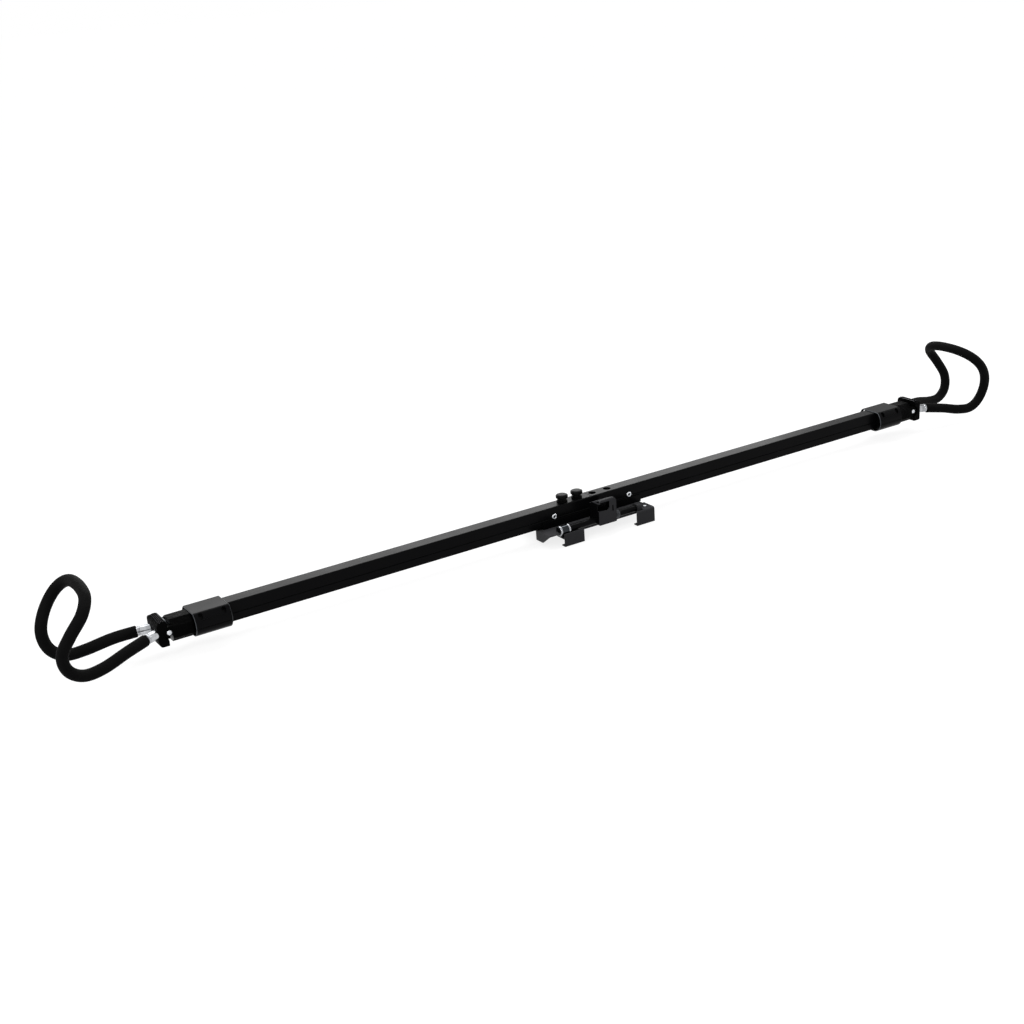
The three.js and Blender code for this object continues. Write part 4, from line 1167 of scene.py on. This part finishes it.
@dataclass
class ReleaseLever:
    """The folded lever, its shaft, the bearing with painted highlights on its rims, the bracket and the
    torsion spring.
    """

    axis: tuple[float, float] = (-50.0, -20.0)  # Y and Z of the shaft
    shaft: tuple[float, float, float] = (-103.0, 92.0, 7.0)
    bearing: tuple[float, float, float] = (-109.1, -85.0, 11.0)
    socket: float = 7.35
    wire: float = 0.8
    turns: int = 5
    pitch: float = 2.2
    spring_start: float = 30.0
    plate: tuple[float, float] = (-17.1, 28.1)
    corner: float = 5.5
    window_front: float = -64.5
    window: tuple[tuple[float, float], ...] = ((-24, 3), (7.5, 1), (8.5, 19), (-24, 17.5))
    window_corner: float = 3.5

    def lever_piece(self) -> bpy.types.Object:
        """The CAD lever with its finger window opened to the left and its upper corners cut and rounded.

        Returns:
            The lever.
        """
        left, right = self.plate
        outline = np.array([
            (left, -30), (right, -30), (right, 18), (right - 2.4, 23.2), (right - 8, 25.6),
            (left + 10, 25.6), (left + 3, 22.5), (left, 15),
        ], float)
        kept = prism("kept", fillet(outline, self.corner, steps=8), Axis.Y, -70, 40)
        front, opening = self.window_front, fillet(self.window, self.window_corner, steps=6)
        window = prism("window", opening, Axis.Y, front - 3, front + 6)
        return merge_flats(carve(carve(cad_copy("release_lever"), kept, way=Cut.KEEP), window))

    def bright_rims(self, at: np.ndarray, normals: np.ndarray) -> np.ndarray:
        """Which of the bearing's faces lie on its two rims, which get painted highlights.

        Args:
            at: the middles of the faces.
            normals: their normals, not needed here.

        Returns:
            True for each face on a rim.
        """
        start, end, radius = self.bearing
        out = np.hypot(at[:, 1] - self.axis[0], at[:, 2] - self.axis[1]) > radius - 2.5
        return out & ((at[:, 0] < start + 3.5) | (at[:, 0] > end - 4))

    def inside(self, at: np.ndarray, normals: np.ndarray) -> np.ndarray:
        """Which of the lever's faces get painted shade: all but its lit front, roof and right cheek.

        Args:
            at: the middles of the faces.
            normals: their normals.

        Returns:
            True for each face that gets the darker coat as painted shade.
        """
        front = (normals[:, 1] < -0.3) & (at[:, 1] < self.window_front + 5)
        roof = normals[:, 2] > 0.3
        cheek = (normals[:, 0] > 0.5) & (at[:, 0] > self.plate[1] - 1)
        return ~(front | roof | cheek)

    def shaft_piece(self) -> bpy.types.Object:
        """The shaft, with chamfered ends.

        Returns:
            The shaft.
        """
        start, end, radius = self.shaft
        outline = fillet([(0, 0), (radius, 0), (radius, end - start), (0, end - start)], 0.8, closed=False)
        return turned("lever_shaft_finished", outline, (start, *self.axis), (1, 0, 0), 48)

    def bearing_piece(self) -> bpy.types.Object:
        """The bearing cup, with rounded rims and a sunk face at its closed end.

        Returns:
            The bearing.
        """
        start, end, radius = self.bearing
        length = end - start
        bottom = self.shaft[0] - 0.3 - start
        outline = [
            (0, 1.2), (radius - 4, 1.2), (radius - 3, 0), (radius, 0), (radius, 3.6), (radius - 0.7, 4.6),
            (radius - 0.7, length - 5), (radius, length - 4), (radius, length), (self.socket, length),
            (self.socket, bottom), (0, bottom),
        ]
        profile = fillet(outline, 1.6, closed=False, steps=7)
        return turned("shaft_bearing_finished", profile, (start, *self.axis), (1, 0, 0), 56)

    def spring_piece(self) -> bpy.types.Object:
        """The torsion spring: a helix round the shaft, whose end runs back to the rack plate.

        The helix point at turn t is (start + pitch t, radius sin 2 pi t, radius cos 2 pi t) from the
        shaft's own line.

        Returns:
            The spring.
        """
        radius = self.socket + self.wire
        t = np.linspace(0, self.turns, self.turns * 36 + 1)
        helix = np.stack([
            self.spring_start + self.pitch * t,
            self.axis[0] + radius * np.sin(2 * math.pi * t),
            self.axis[1] + radius * np.cos(2 * math.pi * t),
        ], 1)
        last = helix[-1]
        leg = np.array([last + (0.3, 6.0, 0.0), (last[0] + 0.3, self.axis[0] + 16, -21.5)])
        path = np.concatenate([helix, leg])
        u, v = frames_along(path, np.array((path[:, 0].mean(), *self.axis)))
        angle = np.linspace(0, 2 * math.pi, 10, endpoint=False)[:, None]
        rings = path[:, None] + self.wire * (u[:, None] * np.cos(angle) + v[:, None] * np.sin(angle))
        return net("lever_spring_finished", rings)

    def build(self) -> None:
        """Makes and dresses the lever group."""
        lever = dress(soften(self.lever_piece(), 0.7), SHEET_COAT, "lever", "lever_paint", "release_lever")
        # Painted shade: the left cheek, inner and lower faces get the darker bar coat, and the lit front,
        # roof and right cheek keep the greyer sheet coat.
        inlay(lever, BAR_COAT, self.inside)
        finish_copy("shaft_bracket", SHEET_COAT, "bar", "black_steel", 0.8)
        dress(weigh(self.shaft_piece()), BAR_COAT, "bar", "black_steel", "lever_shaft")
        bearing = dress(weigh(self.bearing_piece()), BURNISHED, "bar", "chrome", "shaft_bearing")
        # Painted highlights: the bearing's two rims get bright nickel.
        inlay(bearing, NICKEL_AND_REFLECTIONS, self.bright_rims)
        dress(self.spring_piece(), SPRING_WIRE, "bar", "spring_steel", "lever_spring")


# ---- Collars ------------------------------------------------------------------------------------


@dataclass
class Collar:
    """A two-shell die-cast clamp with its liner and set screws."""

    side: Side
    start: float = 817.0
    end: float = 888.0
    wall: float = 1.7
    seam: float = -6.0
    seam_gap: float = 0.5
    rounding: float = 3.5
    screws: tuple[float, float] = (830.0, 875.0)
    hole: float = 4.2  # radius of a set screw's hole in the shoulder
    rim: float = 1.1  # width of the chamfer at each end
    screw: tuple[float, float, float] = (4.3, -8.5, -5.0)  # radius, inner end, outer end
    key: float = 2.3  # radius of the hex socket's corners
    half_section: tuple[tuple[float, float], ...] = (
        (18, -25.5), (25.5, -22.3), (31, -17.8), (34.6, -12), (36, -5), (35.4, 4), (32.6, 12), (25.5, 21.8),
    )

    def section(self) -> np.ndarray:
        """The whole outer section in (Y, Z), anticlockwise, with rounded corners."""
        half = np.array(self.half_section, float)
        return fillet(np.concatenate([half, (half * (-1, 1))[::-1]]), self.rounding, steps=6)

    def shell(self, upper: bool) -> bpy.types.Object:
        """One shell: the part of the wall above or below the parting line.

        The wall is the outer outline and the same outline moved in along its normals by the wall.

        Args:
            upper: whether it is the upper shell.

        Returns:
            The shell.
        """
        outer = self.section()
        along = np.roll(outer, -1, 0) - np.roll(outer, 1, 0)
        along /= np.linalg.norm(along, axis=1)[:, None]
        inner = outer + np.stack([-along[:, 1], along[:, 0]], 1) * self.wall
        edge = self.seam + (self.seam_gap if upper else -self.seam_gap)
        chosen = outer[:, 1] > edge if upper else outer[:, 1] < edge
        start = int(np.flatnonzero(chosen & ~np.roll(chosen, 1))[0])
        order = (start + np.arange(chosen.sum())) % len(outer)
        normals = np.stack([along[:, 1], -along[:, 0]], 1)
        ends = []
        for line in (outer - normals * self.rim, outer, inner):
            run = line[order]
            first, last = run[0].copy(), run[-1].copy()
            first[1] = last[1] = edge
            ends.append(np.concatenate([[first], run, [last]]))
        rimmed, full = (np.concatenate([line, ends[2][::-1]]) for line in ends[:2])
        name = f"{self.side.label}_collar_{'upper' if upper else 'lower'}_shell_finished"
        stations = [
            (self.start, rimmed), (self.start + self.rim, full),
            (self.end - self.rim, full), (self.end, rimmed),
        ]
        return net(name, np.stack([np.insert(ring, 0, self.side.value * x, axis=1) for x, ring in stations]))

    def rims(self, at: np.ndarray, normals: np.ndarray) -> np.ndarray:
        """Which of a shell's faces lie on the chamfers and faces at its two ends, which get a painted
        highlight.
        """
        x = np.abs(at[:, 0])
        return (x < self.start + self.rim) | (x > self.end - self.rim)

    def screw_places(self) -> list[tuple[str, np.ndarray, np.ndarray]]:
        """The collar's four set screws.

        Returns:
            For each, its name, the point on the shoulder where it enters and the way it points.
        """
        low, high = (np.array(p, float) for p in self.half_section[-2:])
        middle, way = (low + high) / 2, high - low
        outward = np.array((way[1], -way[0])) / np.linalg.norm(way)
        places = []
        for label, sign in (("front", -1), ("back", 1)):
            for index, x in enumerate(self.screws):
                point = np.array((self.side.value * x, sign * middle[0], middle[1]))
                normal = np.array((0.0, sign * outward[0], outward[1]))
                places.append((f"{self.side.label}_{label}_set_screw_{index + 1}", point, normal))
        return places

    def set_screw(self, name: str, point: np.ndarray, normal: np.ndarray) -> None:
        """Makes a grub screw, sunk in its hole, with a hex socket, and dresses it.

        Args:
            name: its CAD node.
            point: where it enters the shoulder.
            normal: which way it points.
        """
        radius, inner, outer = self.screw
        corners = [(0, inner), (radius, inner), (radius, outer), (0, outer)]
        outline = fillet(corners, 0.5, closed=False, steps=3)
        screw = turned(name + "_finished", outline, point, normal, 28)
        key = drill(point + normal * (outer - 1), point + normal, self.key, 6)
        dress(weigh(carve(screw, key)), BLACK_OXIDE, "bar", "dark_screw", name)

    def build(self) -> None:
        """Makes and dresses the collar."""
        label = self.side.label
        places = self.screw_places()
        through = np.array((0, 0, 8))
        holes = [drill(point - through, point + through, self.hole) for _, point, _ in places]
        shells = {"upper": carve(self.shell(True), *holes), "lower": self.shell(False)}
        for name, shell in shells.items():
            dress(soften(shell, 0.3, 2), COLLAR_COAT, "bar", "collar_paint", f"{label}_collar_{name}_shell")
            # Painted highlight: the chamfers and faces at both ends of each shell get the bright metal rim
            # finish.
            inlay(shell, PAINTED_HIGHLIGHT_RIM, self.rims)
        finish_copy(label + "_collar_liner", NYLON, "bar", "black_plastic", 0.4)
        for name, point, normal in places:
            self.set_screw(name, point, normal)


# ---- Telescopic arms ----------------------------------------------------------------------------


@dataclass
class Arm:
    """The sliding arm: its tube, its cast head and the hinge bolt and nut."""

    side: Side
    bolt_x: float = 935.0
    cheek: float = 25.2  # where the bolt's head seats, from the middle
    end_depth: float = 7.0  # how far inwards of the bolt the end face with the painted highlight reaches
    bridge_half: float = 11.95
    bridge_edge: float = 20.0  # the bridges' outer height; the lower one runs a millimetre past it
    bridge: tuple[tuple[float, float], ...] = (
        (-16.5, 20), (-6, 20), (-6, 12.3), (-9, 10.4), (-11.5, 7.4), (-13.3, 3), (-16.5, 3),
    )

    def head(self) -> bpy.types.Object:
        """The CAD head with a bridge over and under the tongue, so that its slot ends in a round seat.

        Returns:
            The head.
        """
        place = (self.side.value * self.bolt_x, 0)
        bridges = []
        lower = [(x, -z - (1 if z == self.bridge_edge else 0)) for x, z in self.bridge]
        for corners in (self.bridge, lower):
            outline = np.array(corners) * (self.side.value, 1) + place
            bridges.append(prism("bridge", outline, Axis.Y, -self.bridge_half, self.bridge_half))
        return merge_flats(carve(cad_copy(self.side.label + "_arm_head"), *bridges, way=Cut.JOIN))

    def end_face(self, at: np.ndarray, normals: np.ndarray) -> np.ndarray:
        """Which of the head's faces lie on its outer end, which gets a painted highlight."""
        return (normals[:, 0] * self.side.value > 0.9) & (np.abs(at[:, 0]) > self.bolt_x - self.end_depth)

    def bolt(self) -> bpy.types.Object:
        """A button-head bolt with a hex socket, lying along Y.

        Returns:
            The bolt.
        """
        x, seat, tip = self.side.value * self.bolt_x, -self.cheek - 0.3, 31
        outline = [
            (0, seat - 2.4), (2.6, seat - 2.4), (4.8, seat - 0.8), (4.8, seat), (4, seat), (4, tip), (0, tip),
        ]
        profile = fillet(outline, 0.9, closed=False, steps=6)
        piece = turned(self.side.label + "_hinge_bolt_finished", profile, (x, 0, 0), (0, 1, 0), 40)
        return carve(piece, drill((x, seat - PAST, 0), (x, seat - 1.0, 0), 1.9, 6))

    def build(self) -> None:
        """Makes and dresses the arm."""
        label = self.side.label
        body = label + "_arm"
        finish_copy(label + "_arm_tube", BAR_COAT, body, "bar_paint", 0.5)
        head = dress(soften(self.head(), 1.1), CAST_COAT, body, "arm_steel", label + "_arm_head")
        # Painted highlight: the head's outer end face gets the bright metal rim finish.
        inlay(head, PAINTED_HIGHLIGHT_RIM, self.end_face)
        dress(weigh(self.bolt()), ZINC_PLATE, body, "zinc", label + "_hinge_bolt")
        finish_copy(label + "_hinge_nut", ZINC_PLATE, body, "zinc", 0.5)


# ---- Knuckles and grip loops --------------------------------------------------------------------


@dataclass
class GripLoop:
    """The knuckle, the bent rod, its ferrules and the foam grip, at one end of the bar.

    Places along the rod are measured outwards from the hinge bolt, as (outwards, sideways, up).
    """

    side: Side
    bolt_x: float = 935.0
    knuckle_face: float = 22.0
    knuckle_top: float = 24.5
    knuckle_half: float = 28.5
    knuckle_inner: float = 3.0
    corner: float = 12.0  # radius of the knuckle's outer upper and lower corners
    upright_corner: float = 6.0  # radius of its outer upright corners
    reach: float = 40.0  # how far the shapes that trim the knuckle run
    edge_band: float = 1.1  # how far the painted highlight on the inner edge runs
    tread: tuple[float, float, float] = (4.6, 17.5, 25.4)  # the knurling's start, end and half width
    tread_gap: float = 0.3  # between the tread and the rim of its bed
    bed_depth: float = 1.6
    tread_depth: float = 1.55
    knurl: tuple[float, float] = (6.0, 1.2)  # pitch and depth
    tip_share: float = 0.35  # how much of the knurl's depth, from the tips down, gets the painted highlight
    socket_floor: float = 14.0
    rod: float = 7.0
    bore: float = 7.4
    ferrule: float = 9.4
    ferrule_length: float = 24.0
    ferrule_sunk: float = 0.6
    grip: float = 11.2
    grip_gap: float = 1.0
    grip_end: float = 3.2  # radius of the rounding at each end of the foam
    skin: float = 0.2  # how far the foam's waves may stand out
    rod_stations: int = 140
    # Stations of one leg's centre line. Past the first two, they and the top are a curve fit's output,
    # rounded to half a millimetre.
    leg: tuple[tuple[float, float, float], ...] = (
        (14, 15.6, 0.8), (40, 23, -0.8), (86.5, 38, -8), (131.5, 48.5, -18.5), (168.5, 52.5, -19.5),
        (194, 55.5, -0.5), (200.5, 63, 32.5), (184.5, 74.5, 68), (159.5, 75.5, 99.5), (142, 49.5, 119.5),
    )
    top: tuple[float, float, float] = (137.5, 0, 125.5)
    middle: tuple[float, float, float] = (120.0, 0, 40.0)

    def route(self) -> tuple[np.ndarray, np.ndarray, float]:
        """The rod's centre line, from the front of the knuckle round to the back.

        Returns:
            Its points, each point's distance along it, and where the front ferrule starts.
        """
        half = np.array(self.leg, float)
        through = np.concatenate([half * (1, -1, 1), [self.top], half[::-1]])
        line = catmull_rom(through)
        step = np.linalg.norm(np.diff(line, axis=0), axis=1)
        distance = np.concatenate([[0], np.cumsum(step)])
        way = through[1] - through[0]
        way /= np.linalg.norm(way)
        face = (self.knuckle_face - self.socket_floor) / way[0]
        lean = math.hypot(way[1], way[2]) / way[0]
        start = face - self.ferrule * lean - self.ferrule_sunk
        line = (line + (self.bolt_x, 0, 0)) * (self.side.value, 1, 1)
        return line, distance, start

    def along(self, line: np.ndarray, distance: np.ndarray, places: np.ndarray) -> np.ndarray:
        """Points of the centre line, by straight interpolation.

        Args:
            line: the centre line's points.
            distance: how far along each of them is.
            places: the distances that are wanted.

        Returns:
            A point for each place.
        """
        return np.stack([np.interp(places, distance, line[:, i]) for i in range(3)], 1)

    def centre(self) -> tuple[float, float, float]:
        """A point inside the loop, which the rod goes round."""
        x, y, z = self.middle
        return (self.side.value * (self.bolt_x + x), y, z)

    def knuckle(self) -> bpy.types.Object:
        """The CAD knuckle with its outer corners well rounded and a shallow bed for its tread.

        Returns:
            The knuckle.
        """
        free = 0.1  # the trimming shapes stand this far off the flats
        face, top, half = self.knuckle_face + free, self.knuckle_top + free, self.knuckle_half + free
        inner, reach = -30, self.reach
        way, at = np.array((self.side.value, 1)), np.array((self.side.value * self.bolt_x, 0))
        side_view = [(inner, -top), (face, -top), (face, top), (inner, top)]
        top_view = [(inner, -half), (face, -half), (face, half), (inner, half)]
        upright = fillet(side_view, self.corner, steps=12) * way + at
        level = fillet(top_view, self.upright_corner, steps=8) * way + at
        trims = prism("upright", upright, Axis.Y, -reach, reach), prism("level", level, Axis.Z, -reach, reach)
        piece = carve(cad_copy(self.side.label + "_knuckle"), *trims, way=Cut.KEEP)
        start, end, half_width = self.tread
        x = np.linspace(start - self.tread_gap, end + self.tread_gap, 9)
        bed = np.stack([x, self.crown(x) - self.bed_depth], 1)
        outline = np.concatenate([bed, [(x[-1], reach), (x[0], reach)]]) * way + at
        side_reach = half_width + self.tread_gap
        return merge_flats(carve(piece, prism("bed", outline, Axis.Y, -side_reach, side_reach)))

    def crown(self, x: np.ndarray) -> np.ndarray:
        """How high the knuckle's top lies: flat, then the quarter round of its outer corner.

        Args:
            x: distances outwards from the hinge bolt.

        Returns:
            A height for each.
        """
        past = np.maximum(x - (self.knuckle_face - self.corner), 0)
        return self.knuckle_top - self.corner + np.sqrt(self.corner**2 - past**2)

    def tread_piece(self) -> bpy.types.Object:
        """The knurled tread in the knuckle's top: a grid of small blunt pyramids.

        The height over (x, y) is the crown, less the depth times
        1 - |sin(pi (x + y) / p) sin(pi (x - y) / p)|, where p is the pitch.

        Returns:
            The tread.
        """
        start, end, half = self.tread
        pitch, depth = self.knurl
        x, y = (np.linspace(*span) for span in ((start, end, 40), (-half, half, 156)))
        one_way, other_way = math.pi * np.add.outer(x, y) / pitch, math.pi * np.subtract.outer(x, y) / pitch
        ridges = np.abs(np.sin(one_way) * np.sin(other_way))
        lid = self.crown(x)[:, None] - depth * (1 - ridges)
        floor = np.repeat(self.crown(x)[:, None] - self.tread_depth, 2, axis=1)
        across = np.concatenate([y, [half, -half]])
        up = np.concatenate([lid, floor], axis=1)
        outwards = np.broadcast_to(self.side.value * (self.bolt_x + x)[:, None], up.shape)
        rings = np.stack([outwards, np.broadcast_to(across, up.shape), up], axis=2)
        return weigh(net(self.side.label + "_knuckle_tread", rings))

    def tips(self, at: np.ndarray, normals: np.ndarray) -> np.ndarray:
        """Which of the tread's faces are the tips of its pyramids, which get the painted highlight."""
        x = np.abs(at[:, 0]) - self.bolt_x
        return at[:, 2] > self.crown(x) - self.tip_share * self.knurl[1]

    def inner_edge(self, at: np.ndarray, normals: np.ndarray) -> np.ndarray:
        """Which of the knuckle's faces lie on the rounded edges beside the arm, which get a painted
        highlight.
        """
        near = np.abs(at[:, 0]) - self.bolt_x < self.knuckle_inner + self.edge_band
        return near & (normals[:, 0] * self.side.value > -0.9)

    def foam(self, line: np.ndarray, distance: np.ndarray, start: float) -> bpy.types.Object:
        """The foam grip: a thick sleeve whose ends are rounded and whose skin is not quite even.

        The radius at station s and angle a is the grip's own, less a quarter round at each end, plus a
        few slow waves in s and a of up to a fifth of a millimetre.

        Args:
            line: the centre line's points.
            distance: how far along each of them is.
            start: where the front ferrule starts.

        Returns:
            The grip.
        """
        first = start + self.ferrule_length + self.grip_gap
        last, end = distance[-1] - first, self.grip_end
        places = np.concatenate([
            first + end * (1 - np.cos(np.linspace(0, math.pi / 2, 7)))[:-1],
            np.linspace(first + end, last - end, 200),
            last - end * (1 - np.cos(np.linspace(math.pi / 2, 0, 7)))[1:],
        ])
        inside = np.minimum(np.minimum(places - first, last - places), end)
        rounding = np.sqrt(np.maximum(end**2 - (end - inside) ** 2, 0)) - end
        sides = 40
        angle = np.linspace(0, 2 * math.pi, sides, endpoint=False)[None, :]
        s = places[:, None]
        waves = (
            0.09 * np.sin(s / 17 + 2 * angle)
            + 0.06 * np.sin(s / 7.3 - 3 * angle + 1)
            + 0.05 * np.sin(s / 41 + angle)
        )
        radius = self.grip - self.skin + rounding[:, None] + waves
        path = self.along(line, distance, places)
        return tube(self.side.label + "_foam_grip_finished", path, radius, self.centre(), sides, self.bore)

    def ferrule_piece(
        self, place: str, line: np.ndarray, distance: np.ndarray, start: float
    ) -> bpy.types.Object:
        """A nickelled ferrule: a short bored cylinder with rounded rims and a fine turned groove.

        Args:
            place: front or back.
            line: the centre line's points.
            distance: how far along each of them is.
            start: where the front ferrule starts.

        Returns:
            The ferrule.
        """
        if place == "back":
            line, distance = line[::-1], distance[-1] - distance[::-1]
        ends = self.along(line, distance, np.array([start, start + self.ferrule_length]))
        length = float(np.linalg.norm(ends[1] - ends[0]))
        bore, outer, groove = self.bore, self.ferrule, self.ferrule - 0.5
        outline = [
            (bore, 0), (outer, 0), (outer, length - 5.2), (groove, length - 4.8), (groove, length - 4.0),
            (outer, length - 3.6), (outer, length), (bore, length),
        ]
        name = f"{self.side.label}_{place}_ferrule_finished"
        return turned(name, fillet(outline, 0.7, steps=5), ends[0], ends[1] - ends[0], 56, bored=True)

    def rod_piece(self, line: np.ndarray, distance: np.ndarray) -> bpy.types.Object:
        """The bent steel rod inside everything.

        Args:
            line: the centre line's points.
            distance: how far along each of them is.

        Returns:
            The rod.
        """
        path = self.along(line, distance, np.linspace(0, distance[-1], self.rod_stations))
        radius = np.full(self.rod_stations, self.rod)
        return tube(self.side.label + "_loop_rod_finished", path, radius, self.centre(), 24)

    def build(self) -> None:
        """Makes and dresses the loop."""
        label = self.side.label
        body = label + "_loop"
        line, distance, start = self.route()
        knuckle = dress(soften(self.knuckle(), 1.1), CAST_COAT, body, "knuckle_steel", label + "_knuckle")
        # Painted highlight: the rounded inner edges get the bright metal rim finish.
        inlay(knuckle, PAINTED_HIGHLIGHT_RIM, self.inner_edge)
        # Painted shade and highlight: the tread is near-black with no shine for the shade in its grooves, and
        # its tips get the lighter grey coat.
        inlay(dress(self.tread_piece(), GROOVE_SHADE, body, "knuckle_steel"), PAINTED_LIGHT_COAT, self.tips)
        dress(self.rod_piece(line, distance), ZINC_PLATE, body, "zinc", label + "_loop_rod")
        for place in ("front", "back"):
            piece = weigh(self.ferrule_piece(place, line, distance, start))
            dress(piece, NICKEL_AND_REFLECTIONS, body, "chrome", f"{label}_{place}_ferrule")
        grip = dress(self.foam(line, distance, start), FOAM, body, "foam", label + "_foam_grip")


def main() -> None:
    """Builds the studio and every sub-assembly in order."""
    logging.basicConfig(level=logging.INFO, format="%(name)s: %(message)s")
    Viewpoint().build()
    Studio().build()
    MainBar().build()
    for number, x in enumerate(MainBar.pins, start=1):
        PullPin(number, x).build()
    RackBracket().build()
    ReleaseLever().build()
    for side in Side:
        Collar(side).build()
        Arm(side).build()
        GripLoop(side).build()


if __name__ == "__main__":
    main()
